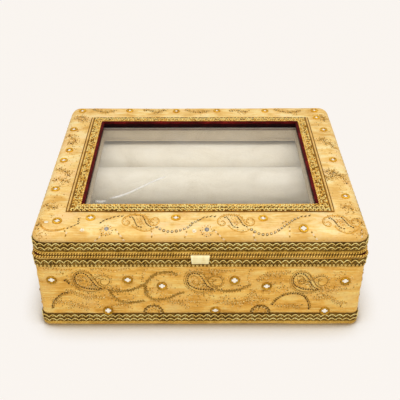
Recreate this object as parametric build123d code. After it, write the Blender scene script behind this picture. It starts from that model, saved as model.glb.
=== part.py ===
from build123d import *
import os

# Cloth-covered bangle box with a windowed lid, in millimetres.
# X runs to the right, Y to the back and Z up; the origin is the centre of the underside.

# Outside of the box
box_width = 330.0
box_depth = 280.0
base_height = 92.0
joint_gap = 0.8
lid_height = 26.2
base_corner_radius = 7.0
lid_corner_radius = 13.0
lid_edge_radius = 10.5

# Boards
wall_thickness = 5.0
floor_thickness = 5.0
lid_rail_thickness = 3.0
well_board_thickness = 3.0
divider_thickness = 5.0
cradle_thickness = 5.0

# Cloth, velvet, card and wadding
cover_thickness = 0.8
underside_cloth_thickness = 0.8
rim_velvet_thickness = 1.2
floor_lining_thickness = 1.6
wall_lining_thickness = 2.4
well_lining_thickness = 1.2
window_edging_thickness = 1.2
underside_panel_thickness = 2.4
padding_thickness = 7.2
cover_top_drop = 0.8
cover_bottom_rise = 0.6

# Window
lid_frame_side_width = 45.0
lid_frame_end_width = 48.0
pane_thickness = 1.2
pane_margin = 6.0
pane_clearance = 0.1
lace_thickness = 1.0
lace_width_sides = 15.3
lace_width_front_back = 12.5
lid_rail_inset = 1.0

# Braids and cords sewn round the outside
braid_proud = 1.2
cord_proud = 1.6
cord_edge_radius = 0.7
cord_edge_share = 0.45
bottom_braid_low = 2.6
bottom_braid_height = 13.6
top_braid_height = 9.6
top_braid_drop = 4.2
base_cord_height = 2.8
base_cord_drop = 0.9
lid_cord_height = 2.0
lid_cord_rise = 1.0
lid_braid_height = 11.7
lid_braid_rise = 3.4

# Velvet rolls and what carries them
roll_radius = 25.0
roll_pitch = 66.0
roll_top_space = 5.6
roll_back_space = 7.8
roll_front_space = 11.0
roll_velvet_thickness = 1.0
roll_disc_thickness = 2.0
roll_end_gap = 1.5
roll_fit_gap = 0.05
dowel_radius = 6.0
dowel_notch_clearance = 0.3
dowel_end_gap = 0.8
cradle_rise = 13.6
divider_drop = 37.0

# Pull tab of folded ribbon
tab_width = 19.0
tab_tip_width = 16.0
tab_drop = 11.2
tab_thickness = 1.0
tab_tuck_thickness = 0.5
tab_tuck_depth = 6.0
tab_clearance = 0.6

# Brass butt hinges
hinge_inset = 70.0
hinge_length = 30.0
hinge_leaf_thickness = rim_velvet_thickness
hinge_leaf_margin = 0.2
hinge_barrel_radius = 2.2
hinge_pin_radius = 1.1
hinge_pin_clearance = 0.05
hinge_pin_offset = 0.7
hinge_pin_head_radius = 1.6
hinge_pin_head_length = 0.6
hinge_knuckle_gap = 0.3
hinge_relief = 0.35
screw_head_radius = 1.7
screw_shank_radius = 1.0
screw_length = 9.0
screw_spacing = 20.0
screw_clearance = 0.05

# Heights worked out from the sizes above
lid_bottom = base_height + joint_gap
lid_top = lid_bottom + lid_height
wall_bottom = underside_cloth_thickness + floor_thickness
wall_top = base_height - rim_velvet_thickness
inside_floor = wall_bottom + floor_lining_thickness
lid_side_bottom = lid_bottom + rim_velvet_thickness
padding_top = lid_top - cover_thickness
rail_top = padding_top - padding_thickness
rail_bottom = rail_top - lid_rail_thickness
well_bottom = lid_bottom + underside_panel_thickness

# Plan sizes worked out from the sizes above, as (width, depth)
window_width = box_width - 2 * lid_frame_side_width
window_depth = box_depth - 2 * lid_frame_end_width
outside = (box_width, box_depth)
core = (box_width - 2 * cover_thickness, box_depth - 2 * cover_thickness)
wall_inside = (core[0] - 2 * wall_thickness, core[1] - 2 * wall_thickness)
lining_inside = (
    wall_inside[0] - 2 * wall_lining_thickness,
    wall_inside[1] - 2 * wall_lining_thickness,
)
window = (window_width, window_depth)
frame_inside = (
    window_width + 2 * window_edging_thickness,
    window_depth + 2 * window_edging_thickness,
)
well_inside = (
    window_width + 2 * well_lining_thickness,
    window_depth + 2 * well_lining_thickness,
)
well_outside = (
    well_inside[0] + 2 * well_board_thickness,
    well_inside[1] + 2 * well_board_thickness,
)
pane_size = (window_width + 2 * pane_margin, window_depth + 2 * pane_margin)
lace_size = (window_width + 2 * lace_width_sides, window_depth + 2 * lace_width_front_back)

# Places of the rolls, the divider and the hinges
roll_back_y = lining_inside[1] / 2 - roll_back_space - roll_radius
roll_front_y = roll_back_y - roll_pitch
roll_axis_height = base_height - roll_top_space - roll_radius
cradle_top = roll_axis_height + cradle_rise
divider_top = base_height - divider_drop
divider_back_y = roll_front_y - roll_radius - roll_front_space
cradle_inner_x = lining_inside[0] / 2 - cradle_thickness
roll_half_length = cradle_inner_x - roll_end_gap
dowel_half_length = lining_inside[0] / 2 - dowel_end_gap
hinge_y = box_depth / 2 + hinge_pin_offset
hinge_z = base_height + joint_gap / 2
hinge_places = {"left": -box_width / 2 + hinge_inset, "right": box_width / 2 - hinge_inset}
leaf_front_y = core[1] / 2 - wall_thickness
screw_y = core[1] / 2 - wall_thickness / 2


def slab(size, low, high, radius=0.0):
    """A flat block centred on the Z axis, with rounded upright corners."""
    plan = Rectangle(*size) if radius <= 0 else RectangleRounded(*size, radius)
    return Pos(0, 0, low) * extrude(plan, high - low)


def ring(outer, inner, low, high, outer_radius=0.0, inner_radius=0.0):
    """A closed band between two plan sizes."""
    return slab(outer, low, high, outer_radius) - slab(inner, low, high, inner_radius)


def box_between(low, high):
    """A block between two corners."""
    size = [high[i] - low[i] for i in range(3)]
    centre = [(high[i] + low[i]) / 2 for i in range(3)]
    return Pos(*centre) * Box(*size)


def rod(radius, start, length, y=0.0, z=0.0):
    """A round bar along X that begins at start."""
    return Pos(start + length / 2, y, z) * Rot(0, 90, 0) * Cylinder(radius, length)


def mitre_sector(side, outer, inner, low, high):
    """The part of a frame's space that belongs to one side, between its two mitre planes."""
    ow, od = outer[0] / 2, outer[1] / 2
    iw, iv = inner[0] / 2, inner[1] / 2
    corners = {
        "front": [(-ow, -od), (ow, -od), (iw, -iv), (-iw, -iv)],
        "back": [(ow, od), (-ow, od), (-iw, iv), (iw, iv)],
        "left": [(-ow, od), (-ow, -od), (-iw, -iv), (-iw, iv)],
        "right": [(ow, -od), (ow, od), (iw, iv), (iw, -iv)],
    }
    return Pos(0, 0, low) * extrude(make_face(Polyline(*corners[side], close=True)), high - low)


def mitred(frame, outer, inner, low, high):
    """Cut a closed frame into its four mitred sides."""
    sides = ("front", "back", "left", "right")
    return {side: frame & mitre_sector(side, outer, inner, low, high) for side in sides}


def lid_block(inset):
    """The lid's solid outer form, drawn in by inset all round and at the top."""
    size = (box_width - 2 * inset, box_depth - 2 * inset)
    block = slab(size, lid_bottom, lid_top - inset, lid_corner_radius - inset)
    return fillet(block.faces().sort_by(Axis.Z)[-1].edges(), lid_edge_radius - inset)


def hinge_relief_cut(low, high):
    """The space that the two hinge barrels and leaves need between two heights."""
    cut = None
    for x in hinge_places.values():
        start = x - hinge_length / 2 - hinge_pin_head_length - hinge_relief
        length = hinge_length + 2 * (hinge_pin_head_length + hinge_relief)
        barrel = rod(hinge_barrel_radius + hinge_relief, start, length, hinge_y, hinge_z)
        leaf = box_between(
            (x - hinge_length / 2 - hinge_leaf_margin, leaf_front_y, low),
            (x + hinge_length / 2 + hinge_leaf_margin, hinge_y, high),
        )
        cut = barrel + leaf if cut is None else cut + barrel + leaf
    return cut


def hinge_barrel_cut():
    """The round space that the hinge barrels alone need."""
    cuts = []
    for x in hinge_places.values():
        start = x - hinge_length / 2 - hinge_pin_head_length - hinge_relief
        length = hinge_length + 2 * (hinge_pin_head_length + hinge_relief)
        cuts.append(rod(hinge_barrel_radius + hinge_relief, start, length, hinge_y, hinge_z))
    return cuts[0] + cuts[1]


def screw(direction, grown=0.0):
    """A countersunk screw whose head is level with Z = 0 and whose shank runs along direction."""
    head = Cone(screw_head_radius + grown, screw_shank_radius + grown, hinge_leaf_thickness)
    shank_length = screw_length - hinge_leaf_thickness + grown
    head = Pos(0, 0, hinge_leaf_thickness / 2) * head
    shank = Pos(0, 0, hinge_leaf_thickness + shank_length / 2)
    body = head + shank * Cylinder(screw_shank_radius + grown, shank_length)
    return body if direction > 0 else Rot(180, 0, 0) * body


def screws(head_z, direction, grown=0.0):
    """The four screws that hold both leaves of one half, at their places."""
    placed = []
    for x in hinge_places.values():
        for shift in (-screw_spacing / 2, screw_spacing / 2):
            placed.append(Pos(x + shift, screw_y, head_z) * screw(direction, grown))
    return placed


def without(piece, tools):
    """A piece with each of the tools cut away."""
    for tool in tools:
        piece = piece - tool
    return piece


def make_base_boards():
    """Floor and four mitred walls of board."""
    inner_radius = base_corner_radius - cover_thickness
    floor = slab(core, underside_cloth_thickness, wall_bottom, inner_radius)
    walls = mitred(
        ring(core, wall_inside, wall_bottom, wall_top, inner_radius),
        core, wall_inside, wall_bottom, wall_top,
    )
    walls["back"] = without(
        walls["back"] - hinge_barrel_cut(), screws(base_height, -1, screw_clearance)
    )
    made = {"base_floor_board": floor}
    for side, wall in walls.items():
        made["base_" + side + "_board"] = wall
    return made


def make_base_cloth():
    """Silk cover round the walls, the cloth underneath and the velvet on the rim."""
    inner_radius = base_corner_radius - cover_thickness
    leaf_cut = hinge_relief_cut(wall_top, base_height)
    cover_top = base_height - cover_top_drop
    cover = ring(
        outside, core, underside_cloth_thickness, cover_top, base_corner_radius, inner_radius
    )
    rim = ring(core, lining_inside, wall_top, base_height, inner_radius)
    return {
        "base_silk_cover": cover - leaf_cut,
        "base_underside_cloth": slab(outside, 0, underside_cloth_thickness, base_corner_radius),
        "base_rim_velvet": rim - leaf_cut,
    }


def trim_band(proud, low, high, corner_radius):
    """A strip sewn flat round the outside, standing proud of the cover."""
    outer = (box_width + 2 * proud, box_depth + 2 * proud)
    return ring(outer, outside, low, high, corner_radius + proud, corner_radius)


def trim_cord(low, high, corner_radius):
    """A cord sewn round the outside, with its outer edges rounded."""
    band = trim_band(cord_proud, low, high, corner_radius)
    flat_faces = band.faces().filter_by(Axis.Z)
    outer_edges = [face.outer_wire().edges() for face in flat_faces]
    edges = outer_edges[0] + outer_edges[1]
    return fillet(edges, min(cord_edge_radius, cord_edge_share * (high - low)))


def make_base_trims():
    """The two braids and the gold cord round the base."""
    cord_high = base_height - base_cord_drop
    braid_high = base_height - top_braid_drop
    cord = trim_cord(cord_high - base_cord_height, cord_high, base_corner_radius)
    bottom_high = bottom_braid_low + bottom_braid_height
    return {
        "base_rim_cord": cord - hinge_barrel_cut(),
        "base_top_braid": trim_band(
            braid_proud, braid_high - top_braid_height, braid_high, base_corner_radius
        ),
        "base_bottom_braid": trim_band(
            braid_proud, bottom_braid_low, bottom_high, base_corner_radius
        ),
    }


def make_inside():
    """Linings, the divider and the two notched boards that carry the rolls."""
    floor = slab(wall_inside, wall_bottom, inside_floor)
    walls = ring(wall_inside, lining_inside, inside_floor, wall_top)
    half_width = lining_inside[0] / 2
    half_depth = lining_inside[1] / 2
    divider = box_between(
        (-half_width, divider_back_y - divider_thickness, inside_floor),
        (half_width, divider_back_y, divider_top),
    )
    made = {
        "floor_lining": floor,
        "wall_lining": walls,
        "compartment_divider": divider,
    }
    notch_radius = dowel_radius + dowel_notch_clearance
    for side, sign in (("left", -1), ("right", 1)):
        ends = sorted((sign * cradle_inner_x, sign * half_width))
        cradle = box_between(
            (ends[0], divider_back_y, inside_floor), (ends[1], half_depth, cradle_top)
        )
        for y in (roll_front_y, roll_back_y):
            seat = rod(notch_radius, ends[0], cradle_thickness, y, roll_axis_height)
            throat = box_between(
                (ends[0], y - notch_radius, roll_axis_height),
                (ends[1], y + notch_radius, cradle_top),
            )
            cradle = cradle - seat - throat
        made["roll_cradle_" + side] = cradle
    return made


def make_roll(name, y):
    """One velvet roll: a dowel through a foam core, a velvet sleeve and two end discs."""
    z = roll_axis_height
    disc_inner = roll_half_length - roll_disc_thickness
    foam_radius = roll_radius - roll_velvet_thickness
    bore = rod(dowel_radius + roll_fit_gap, -dowel_half_length, 2 * dowel_half_length, y, z)
    foam = rod(foam_radius - roll_fit_gap, -disc_inner, 2 * disc_inner, y, z) - bore
    sleeve = rod(roll_radius, -disc_inner, 2 * disc_inner, y, z)
    sleeve = sleeve - rod(foam_radius, -disc_inner, 2 * disc_inner, y, z)
    left_disc = rod(roll_radius, -roll_half_length, roll_disc_thickness, y, z) - bore
    right_disc = rod(roll_radius, disc_inner, roll_disc_thickness, y, z) - bore
    return {
        name + "_dowel": rod(dowel_radius, -dowel_half_length, 2 * dowel_half_length, y, z),
        name + "_foam_core": foam,
        name + "_velvet_sleeve": sleeve,
        name + "_end_discs": Compound(children=[left_disc.solid(), right_disc.solid()]),
    }


def make_lid_boards():
    """Mitred side boards, top rails and the walls of the well under the window."""
    space = lid_block(cover_thickness)
    sides = mitred(
        ring(core, wall_inside, lid_side_bottom, rail_bottom) & space,
        core, wall_inside, lid_side_bottom, rail_bottom,
    )
    sides["back"] = without(
        sides["back"] - hinge_barrel_cut(), screws(lid_bottom, 1, screw_clearance)
    )
    rail_outer = (core[0] - 2 * lid_rail_inset, core[1] - 2 * lid_rail_inset)
    rails = mitred(
        ring(rail_outer, well_inside, rail_bottom, rail_top) & space,
        rail_outer, well_inside, rail_bottom, rail_top,
    )
    wells = mitred(
        ring(well_outside, well_inside, well_bottom, rail_bottom),
        well_outside, well_inside, well_bottom, rail_bottom,
    )
    made = {}
    for side in sides:
        made["lid_" + side + "_board"] = sides[side]
        made["lid_" + side + "_rail"] = rails[side]
        made["lid_" + side + "_well_board"] = wells[side]
    return made


def make_lid_cloth():
    """Padding strips, silk cover, velvet edging, linings and the lace round the window."""
    space = lid_block(cover_thickness)
    padding = space & ring(core, frame_inside, rail_top, padding_top)
    seat = (pane_size[0] + 2 * pane_clearance, pane_size[1] + 2 * pane_clearance)
    padding = padding - slab(seat, rail_top, rail_top + pane_thickness)
    strips = mitred(padding, core, frame_inside, rail_top, padding_top)
    cover_bottom = lid_bottom + cover_bottom_rise
    shell = lid_block(0) & slab(outside, cover_bottom, lid_top)
    cover = shell - space - slab(frame_inside, padding_top, lid_top)
    leaf_cut = hinge_relief_cut(lid_bottom, lid_side_bottom)
    rim_radius = lid_corner_radius - cover_thickness
    rim = ring(core, lining_inside, lid_bottom, lid_side_bottom, rim_radius)
    made = {
        "lid_silk_cover": cover - leaf_cut,
        "lid_rim_velvet": rim - leaf_cut,
        "lid_underside_panel": ring(lining_inside, window, lid_bottom, well_bottom),
        "lid_well_lining": ring(well_inside, window, well_bottom, rail_top),
        "window_velvet_edging": ring(
            frame_inside, window, rail_top + pane_thickness, lid_top
        ),
        "window_lace": ring(lace_size, window, lid_top, lid_top + lace_thickness),
        "window_pane": slab(pane_size, rail_top, rail_top + pane_thickness),
    }
    for side, strip in strips.items():
        made["lid_" + side + "_padding"] = strip
    return made


def make_lid_trims():
    """Braid and gold cord round the lid, and the ribbon pull tab."""
    cord_low = lid_bottom + lid_cord_rise
    braid_low = lid_bottom + lid_braid_rise
    cord = trim_cord(cord_low, cord_low + lid_cord_height, lid_corner_radius)
    hang_back = -(box_depth / 2 + cord_proud + tab_clearance)
    hang_front = hang_back - tab_thickness
    outline = Polyline(
        (-tab_width / 2, lid_bottom),
        (tab_width / 2, lid_bottom),
        (tab_tip_width / 2, lid_bottom - tab_drop),
        (-tab_tip_width / 2, lid_bottom - tab_drop),
        close=True,
    )
    hanging = Pos(0, hang_back, 0) * extrude(Plane.XZ * make_face(outline), tab_thickness)
    tuck = box_between(
        (-tab_width / 2, hang_front, lid_bottom - tab_tuck_thickness),
        (tab_width / 2, hang_back + cord_proud + tab_tuck_depth, lid_bottom),
    )
    return {
        "lid_rim_cord": cord - hinge_barrel_cut(),
        "lid_braid": trim_band(
            braid_proud, braid_low, braid_low + lid_braid_height, lid_corner_radius
        ),
        "pull_tab": hanging + tuck,
    }


def hinge_leaf(x, low, high, knuckles, screw_tools):
    """A leaf plate with its own knuckles round the pin."""
    half = hinge_length / 2
    plate_edge = hinge_y - hinge_barrel_radius - hinge_relief
    plate_front = leaf_front_y + hinge_leaf_margin
    leaf = box_between((x - half, plate_front, low), (x + half, plate_edge, high))
    for start, length in knuckles:
        leaf = leaf + rod(hinge_barrel_radius, x + start, length, hinge_y, hinge_z)
        leaf = leaf + box_between(
            (x + start, plate_edge, low), (x + start + length, hinge_y, high)
        )
    leaf = leaf - rod(
        hinge_pin_radius + hinge_pin_clearance, x - half, hinge_length, hinge_y, hinge_z
    )
    return without(leaf, screw_tools)


def make_hinges():
    """Two butt hinges in the back of the joint, with their pins and screws."""
    made = {}
    third = hinge_length / 3
    half = hinge_length / 2
    outer_length = third - hinge_knuckle_gap / 2
    outer_knuckles = [(-half, outer_length), (half - outer_length, outer_length)]
    middle_length = third - hinge_knuckle_gap
    middle_knuckle = [(-middle_length / 2, middle_length)]
    base_holes = screws(base_height, -1, screw_clearance)
    lid_holes = screws(lid_bottom, 1, screw_clearance)
    for side, x in hinge_places.items():
        made["hinge_" + side + "_base_leaf"] = hinge_leaf(
            x, base_height - hinge_leaf_thickness, base_height, outer_knuckles, base_holes
        )
        made["hinge_" + side + "_lid_leaf"] = hinge_leaf(
            x, lid_bottom, lid_bottom + hinge_leaf_thickness, middle_knuckle, lid_holes
        )
        pin = rod(hinge_pin_radius, x - half, hinge_length, hinge_y, hinge_z)
        for start in (x - half - hinge_pin_head_length, x + half):
            pin = pin + rod(
                hinge_pin_head_radius, start, hinge_pin_head_length, hinge_y, hinge_z
            )
        made["hinge_" + side + "_pin"] = pin
    base_screws = [piece.solid() for piece in screws(base_height, -1)]
    lid_screws = [piece.solid() for piece in screws(lid_bottom, 1)]
    made["hinge_base_screws"] = Compound(children=base_screws)
    made["hinge_lid_screws"] = Compound(children=lid_screws)
    return made


def make_all():
    """Every piece of the box under its own name."""
    nodes = {}
    nodes.update(make_base_boards())
    nodes.update(make_base_cloth())
    nodes.update(make_base_trims())
    nodes.update(make_inside())
    nodes.update(make_roll("roll_front", roll_front_y))
    nodes.update(make_roll("roll_back", roll_back_y))
    nodes.update(make_lid_boards())
    nodes.update(make_lid_cloth())
    nodes.update(make_lid_trims())
    nodes.update(make_hinges())
    return nodes


os.makedirs("parts", exist_ok=True)
for node_name, node_shape in make_all().items():
    export_step(node_shape, "parts/" + node_name + ".step")
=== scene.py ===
import random
from math import atan2, copysign, cos, dist, hypot, pi, radians, sin

import bmesh
import bpy
from mathutils import Matrix, Vector, noise
from mathutils.bvhtree import BVHTree


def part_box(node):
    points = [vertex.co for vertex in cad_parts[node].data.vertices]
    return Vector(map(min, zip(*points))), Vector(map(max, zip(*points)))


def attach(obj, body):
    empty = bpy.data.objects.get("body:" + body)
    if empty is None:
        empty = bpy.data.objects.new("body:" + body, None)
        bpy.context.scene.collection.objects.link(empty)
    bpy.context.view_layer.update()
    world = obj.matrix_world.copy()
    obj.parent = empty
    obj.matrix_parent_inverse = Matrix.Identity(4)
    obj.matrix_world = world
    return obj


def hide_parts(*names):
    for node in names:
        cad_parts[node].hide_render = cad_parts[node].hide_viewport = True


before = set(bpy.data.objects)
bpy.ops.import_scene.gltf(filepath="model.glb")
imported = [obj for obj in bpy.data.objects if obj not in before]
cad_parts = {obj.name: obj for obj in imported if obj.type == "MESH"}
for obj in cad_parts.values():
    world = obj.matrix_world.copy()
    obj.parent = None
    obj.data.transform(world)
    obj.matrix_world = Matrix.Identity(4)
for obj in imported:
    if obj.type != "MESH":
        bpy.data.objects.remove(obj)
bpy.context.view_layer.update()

# Camera and room. The box stands on a plain pale floor and is seen from the front and above,
# under one large soft light overhead and a very weak one in front of it.
MM = 0.001
PHOTO_WIDTH_PX = 400
FOCAL_LENGTH_PX = 697.6
SENSOR_MM = 36.0
CAMERA_PLACE = (-0.0013, -0.6828, 0.5155)
CAMERA_TILT_DOWN = 33.43
CAMERA_YAW = -0.11

bpy.ops.object.select_all(action="DESELECT")
camera_turn = (radians(90 - CAMERA_TILT_DOWN), 0, radians(CAMERA_YAW))
bpy.ops.object.camera_add(location=CAMERA_PLACE, rotation=camera_turn)
camera = bpy.context.object
camera.name = "photo_camera"
camera.data.sensor_width = SENSOR_MM
camera.data.lens = FOCAL_LENGTH_PX / PHOTO_WIDTH_PX * SENSOR_MM
camera.data.clip_start = 0.01
bpy.context.scene.camera = camera
bpy.context.scene.view_settings.view_transform = "Standard"

LIGHT_TARGET = Vector((0, 0, 0.06))
for name, place, size, power, tint in (
    ("overhead_light", (0.1, -0.75, 1.55), (1.5, 0.9), 14.0, (1.0, 0.985, 0.96)),
    ("front_light", (-0.15, -1.6, 0.92), (1.1, 0.6), 0.6, (1.0, 0.98, 0.95)),
):
    bpy.ops.object.light_add(type="AREA", location=place)
    lamp = bpy.context.object
    lamp.name = name
    lamp.data.shape = "RECTANGLE"
    lamp.data.size, lamp.data.size_y = size
    lamp.data.energy = power
    lamp.data.color = tint
    lamp.rotation_euler = (LIGHT_TARGET - Vector(place)).to_track_quat("-Z", "Y").to_euler()


def srgb(text):
    """A colour written as six hex digits, as the linear one that shaders take."""
    shares = [int(text[at:at + 2], 16) / 255 for at in (0, 2, 4)]
    linear = [s / 12.92 if s <= 0.04045 else ((s + 0.055) / 1.055) ** 2.4 for s in shares]
    return (*linear, 1.0)


def arithmetic(operation, turned=False):
    """A method that adds one maths node; turned is for a number that stands before the wire."""
    def method(self, other=0.0):
        first, second = (other, self) if turned else (self, other)
        return self.finish.node("Math", {0: first, 1: second}, operation=operation)
    return method


class Wire:
    """What a node hands on; arithmetic on it adds the maths nodes."""

    def __init__(self, finish, socket):
        self.finish = finish
        self.socket = socket

    __add__ = __radd__ = arithmetic("ADD")
    __mul__ = __rmul__ = arithmetic("MULTIPLY")
    __sub__ = arithmetic("SUBTRACT")
    __rsub__ = arithmetic("SUBTRACT", True)
    __pow__ = arithmetic("POWER")
    __abs__ = arithmetic("ABSOLUTE")
    either = arithmetic("MAXIMUM")


class Finish:
    """One material, or the world, and the nodes that make it; colours are hex digits."""

    def __init__(self, name, owners=bpy.data.materials, **constants):
        self.material = owners.new(name)
        self.material.use_nodes = True
        self.tree = self.material.node_tree
        self.shader = self.tree.nodes.get("Principled BSDF")
        self.surface(**constants)

    def plug(self, socket, value):
        value = getattr(value, "socket", value)
        if isinstance(value, bpy.types.NodeSocket):
            self.tree.links.new(value, socket)
        else:
            socket.default_value = srgb(value) if isinstance(value, str) else value

    def node(self, kind, sockets, output=0, stops=(), **settings):
        """Adds a node, sets it up, fills its sockets and hands on one of its outputs."""
        made = self.tree.nodes.new("ShaderNode" + kind)
        for key, value in settings.items():
            setattr(made, key, value)
        for index, (place, colour) in enumerate(stops):
            if index == len(made.color_ramp.elements):
                made.color_ramp.elements.new(1.0)
            made.color_ramp.elements[index].position = place
            made.color_ramp.elements[index].color = srgb(colour)
        for key, value in sockets.items():
            self.plug(made.inputs[key], value)
        return Wire(self, made.outputs[output])

    def place(self, stretch=(1, 1, 1)):
        """Object coordinates, stretched."""
        vector = self.node("TexCoord", {}, "Object")
        return self.node("Mapping", {"Vector": vector, "Scale": stretch})

    def noise(self, stretch, scale=1.0, detail=3.0, roughness=0.55, distortion=0.0):
        """A cloud over the object; a single number for the stretch counts on every axis."""
        place = self.place((stretch,) * 3 if isinstance(stretch, int) else stretch)
        return self.node("TexNoise", {"Vector": place, "Scale": scale, "Detail": detail,
                                      "Roughness": roughness, "Distortion": distortion})

    def facing(self, axis):
        """How far the surface faces one way or the other along an axis, from 0 to 1."""
        return abs(self.node("SeparateXYZ", {0: self.node("NewGeometry", {}, "Normal")}, axis))

    def ramp(self, factor, *stops):
        """A colour for each place on the factor's way from 0 to 1."""
        return self.node("ValToRGB", {0: factor}, stops=stops)

    def level(self, factor, low, high):
        """The factor spread from 0 at low to 1 at high, and held there."""
        return self.node("MapRange", {"Value": factor, "From Min": low, "From Max": high},
                         clamp=True, interpolation_type="SMOOTHSTEP")

    def tint(self, factor, first, second):
        """Two colours mixed by a factor."""
        return self.node("Mix", {0: factor, 6: first, 7: second}, 2, data_type="RGBA")

    def bump(self, height, depth_mm, strength=1.0):
        return self.node("Bump", {"Height": height, "Distance": depth_mm * MM, "Strength": strength})

    def ray(self, kind):
        return self.node("LightPath", {}, f"Is {kind} Ray")

    def nearby(self, reach, low, high):
        """How open the floor is, from 0 beside a piece to 1 beyond its reach."""
        return self.level(self.node("AmbientOcclusion", {"Distance": reach}, "AO", samples=8), low, high)

    def surface(self, **sockets):
        for socket, value in sockets.items():
            self.plug(self.shader.inputs[socket.replace("_", " ")], value)
        return self.material


FLOOR_SIZE = 7.0
FLOOR_COLOUR = "ded6c6"
FLOOR_MOTTLE = "d4cbba"
CONTACT_SHADOW_COLOUR = "aa9878"
BACKDROP_COLOUR = "fbf6f1"
ROOM_LIGHT_COLOUR = (1.0, 0.985, 0.96, 1.0)
ROOM_LIGHT = 0.64
SHADOW_REACH = 0.045
CONTACT_SHADOW_REACH = 0.012

bpy.ops.mesh.primitive_plane_add(size=FLOOR_SIZE, location=(0, 0, 0))
floor = bpy.context.object
floor.name = "floor"
paper = Finish("pale_floor", Roughness=0.85, Specular_IOR_Level=0.1)
plain = paper.tint(paper.noise(1, 40.0) * 0.04, FLOOR_COLOUR, FLOOR_MOTTLE)
# Painted contact shadow: the floor's colour turns brown-grey close beside the box.
painted_contact_shadow = 1 - paper.nearby(CONTACT_SHADOW_REACH, 0.45, 0.95)
paper.surface(Base_Color=paper.tint(painted_contact_shadow, plain, CONTACT_SHADOW_COLOUR))
seen = paper.ray("Camera") + paper.ray("Glossy") + paper.ray("Transmission")
open_floor = paper.nearby(SHADOW_REACH, 0.5, 0.88)
glow = paper.node("Emission", {"Color": BACKDROP_COLOUR, "Strength": 1.0})
shaders = {0: seen * open_floor * 0.97, 1: paper.shader.outputs[0], 2: glow}
surface = paper.tree.nodes["Material Output"].inputs["Surface"]
paper.plug(surface, paper.node("MixShader", shaders))
floor.data.materials.append(paper.material)

room = Finish("room", bpy.data.worlds)
bpy.context.scene.world = room.material
background = room.tree.nodes["Background"]
room.plug(background.inputs["Color"], ROOM_LIGHT_COLOUR)
room.plug(background.inputs["Strength"], ROOM_LIGHT)
backdrop = room.node("Background", {"Color": BACKDROP_COLOUR})
seen = room.ray("Camera").either(room.ray("Glossy"))
shaders = {0: seen, 1: background.outputs[0], 2: backdrop}
surface = room.tree.nodes["World Output"].inputs["Surface"]
room.plug(surface, room.node("MixShader", shaders))

# Base silk cover. One length of slubbed raw silk is glued round the board walls and turned under
# the floor and over the rim; small ripples stay where the glue has let go.
SILK_THICKNESS = 0.8
BASE_CORNER = 7.0
BASE_HALF = (165.0, 140.0)
FACES_ONE_WAY = 0.9


def take(piece):
    """Makes a piece the only one selected."""
    bpy.ops.object.select_all(action="DESELECT")
    bpy.context.view_layer.objects.active = piece
    piece.select_set(True)


def placed(name, add, scale=(1, 1, 1), **settings):
    """A new primitive by name, with its place and size put into its mesh."""
    bpy.ops.object.select_all(action="DESELECT")
    add(**settings)
    piece = bpy.context.object
    piece.name = name
    piece.scale = scale
    bpy.ops.object.transform_apply(location=True, rotation=True, scale=True)
    return piece


def block(name, low, high):
    """A box between two corners, in metres."""
    middle = (Vector(low) + Vector(high)) / 2
    return placed(name, bpy.ops.mesh.primitive_cube_add, Vector(high) - Vector(low),
                  size=1, location=middle)


def edit_step(piece, test, step, kind="EDGE", **settings):
    """Selects the edges or faces that pass a test, then runs one modelling operator there."""
    take(piece)
    bpy.ops.object.mode_set(mode="EDIT")
    bpy.ops.mesh.select_mode(type=kind)
    mesh = bmesh.from_edit_mesh(piece.data)
    for item in (*mesh.verts, *mesh.edges, *mesh.faces):
        item.select_set(False)
    for item in mesh.edges if kind == "EDGE" else mesh.faces:
        if test(item):
            item.select_set(True)
    mesh.select_flush_mode()
    bmesh.update_edit_mesh(piece.data)
    step(**settings)
    bpy.ops.object.mode_set(mode="OBJECT")


def cut_away(piece, test):
    edit_step(piece, test, bpy.ops.mesh.delete, "FACE", type="FACE")


def bevel(piece, test, width, segments):
    edit_step(piece, test, bpy.ops.mesh.bevel, offset=width * MM, segments=segments)


def subdivide(piece, test, parts):
    edit_step(piece, test, bpy.ops.mesh.subdivide, number_cuts=parts - 1)


def modify(piece, kind, **settings):
    """Adds one modifier and applies it."""
    take(piece)
    modifier = piece.modifiers.new(kind.lower(), kind)
    for key, value in settings.items():
        setattr(modifier, key, value)
    bpy.ops.object.modifier_apply(modifier=modifier.name)


def thicken(piece, thickness, offset=-1, degrees=40):
    """Gives a sheet its thickness in millimetres, and smooth shading."""
    modify(piece, "SOLIDIFY", thickness=thickness * MM, offset=offset)
    return smooth(piece, degrees)


def divide(piece, levels, kind="SIMPLE"):
    modify(piece, "SUBSURF", subdivision_type=kind, levels=levels, render_levels=levels)


def rippled(piece, name, size, depth_mm, direction="NORMAL"):
    """Moves a mesh in and out by a smooth cloud of the given size."""
    cloud = bpy.data.textures.new(name, "CLOUDS")
    cloud.noise_scale = size
    cloud.noise_depth = 1
    depth = depth_mm * MM
    modify(piece, "DISPLACE", texture=cloud, strength=depth, mid_level=0.5, direction=direction)


def smooth(piece, degrees=40):
    take(piece)
    bpy.ops.object.shade_smooth_by_angle(angle=radians(degrees))
    return piece


def dress(piece, material, body, slot=None, *nodes):
    """Gives a new piece its material and its body, and hides the nodes that it stands for; slot is not used.
    """
    piece.data.materials.clear()
    piece.data.materials.append(material)
    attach(piece, body)
    if nodes:
        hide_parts(*nodes)
    return piece


def every(item):
    return True


def ends(edge):
    return [vert.co for vert in edge.verts]


def upright(edge):
    start, end = ends(edge)
    return abs(start.z - end.z) > 4 * (abs(start.x - end.x) + abs(start.y - end.y))


def long_run(edge):
    """True for a level edge along a wall, and not round a corner."""
    start, end = ends(edge)
    return abs(start.z - end.z) < 1e-6 and (start - end).length > 0.1


def flat_face(face):
    return abs(face.normal.z) > FACES_ONE_WAY


def walls(piece, corner, columns, rows):
    """Leaves the four upright walls of a block, rounds its corners and cuts it into a grid."""
    cut_away(piece, flat_face)
    if corner:
        bevel(piece, upright, corner, 5)
    subdivide(piece, long_run, columns)
    subdivide(piece, upright, rows)


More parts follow.
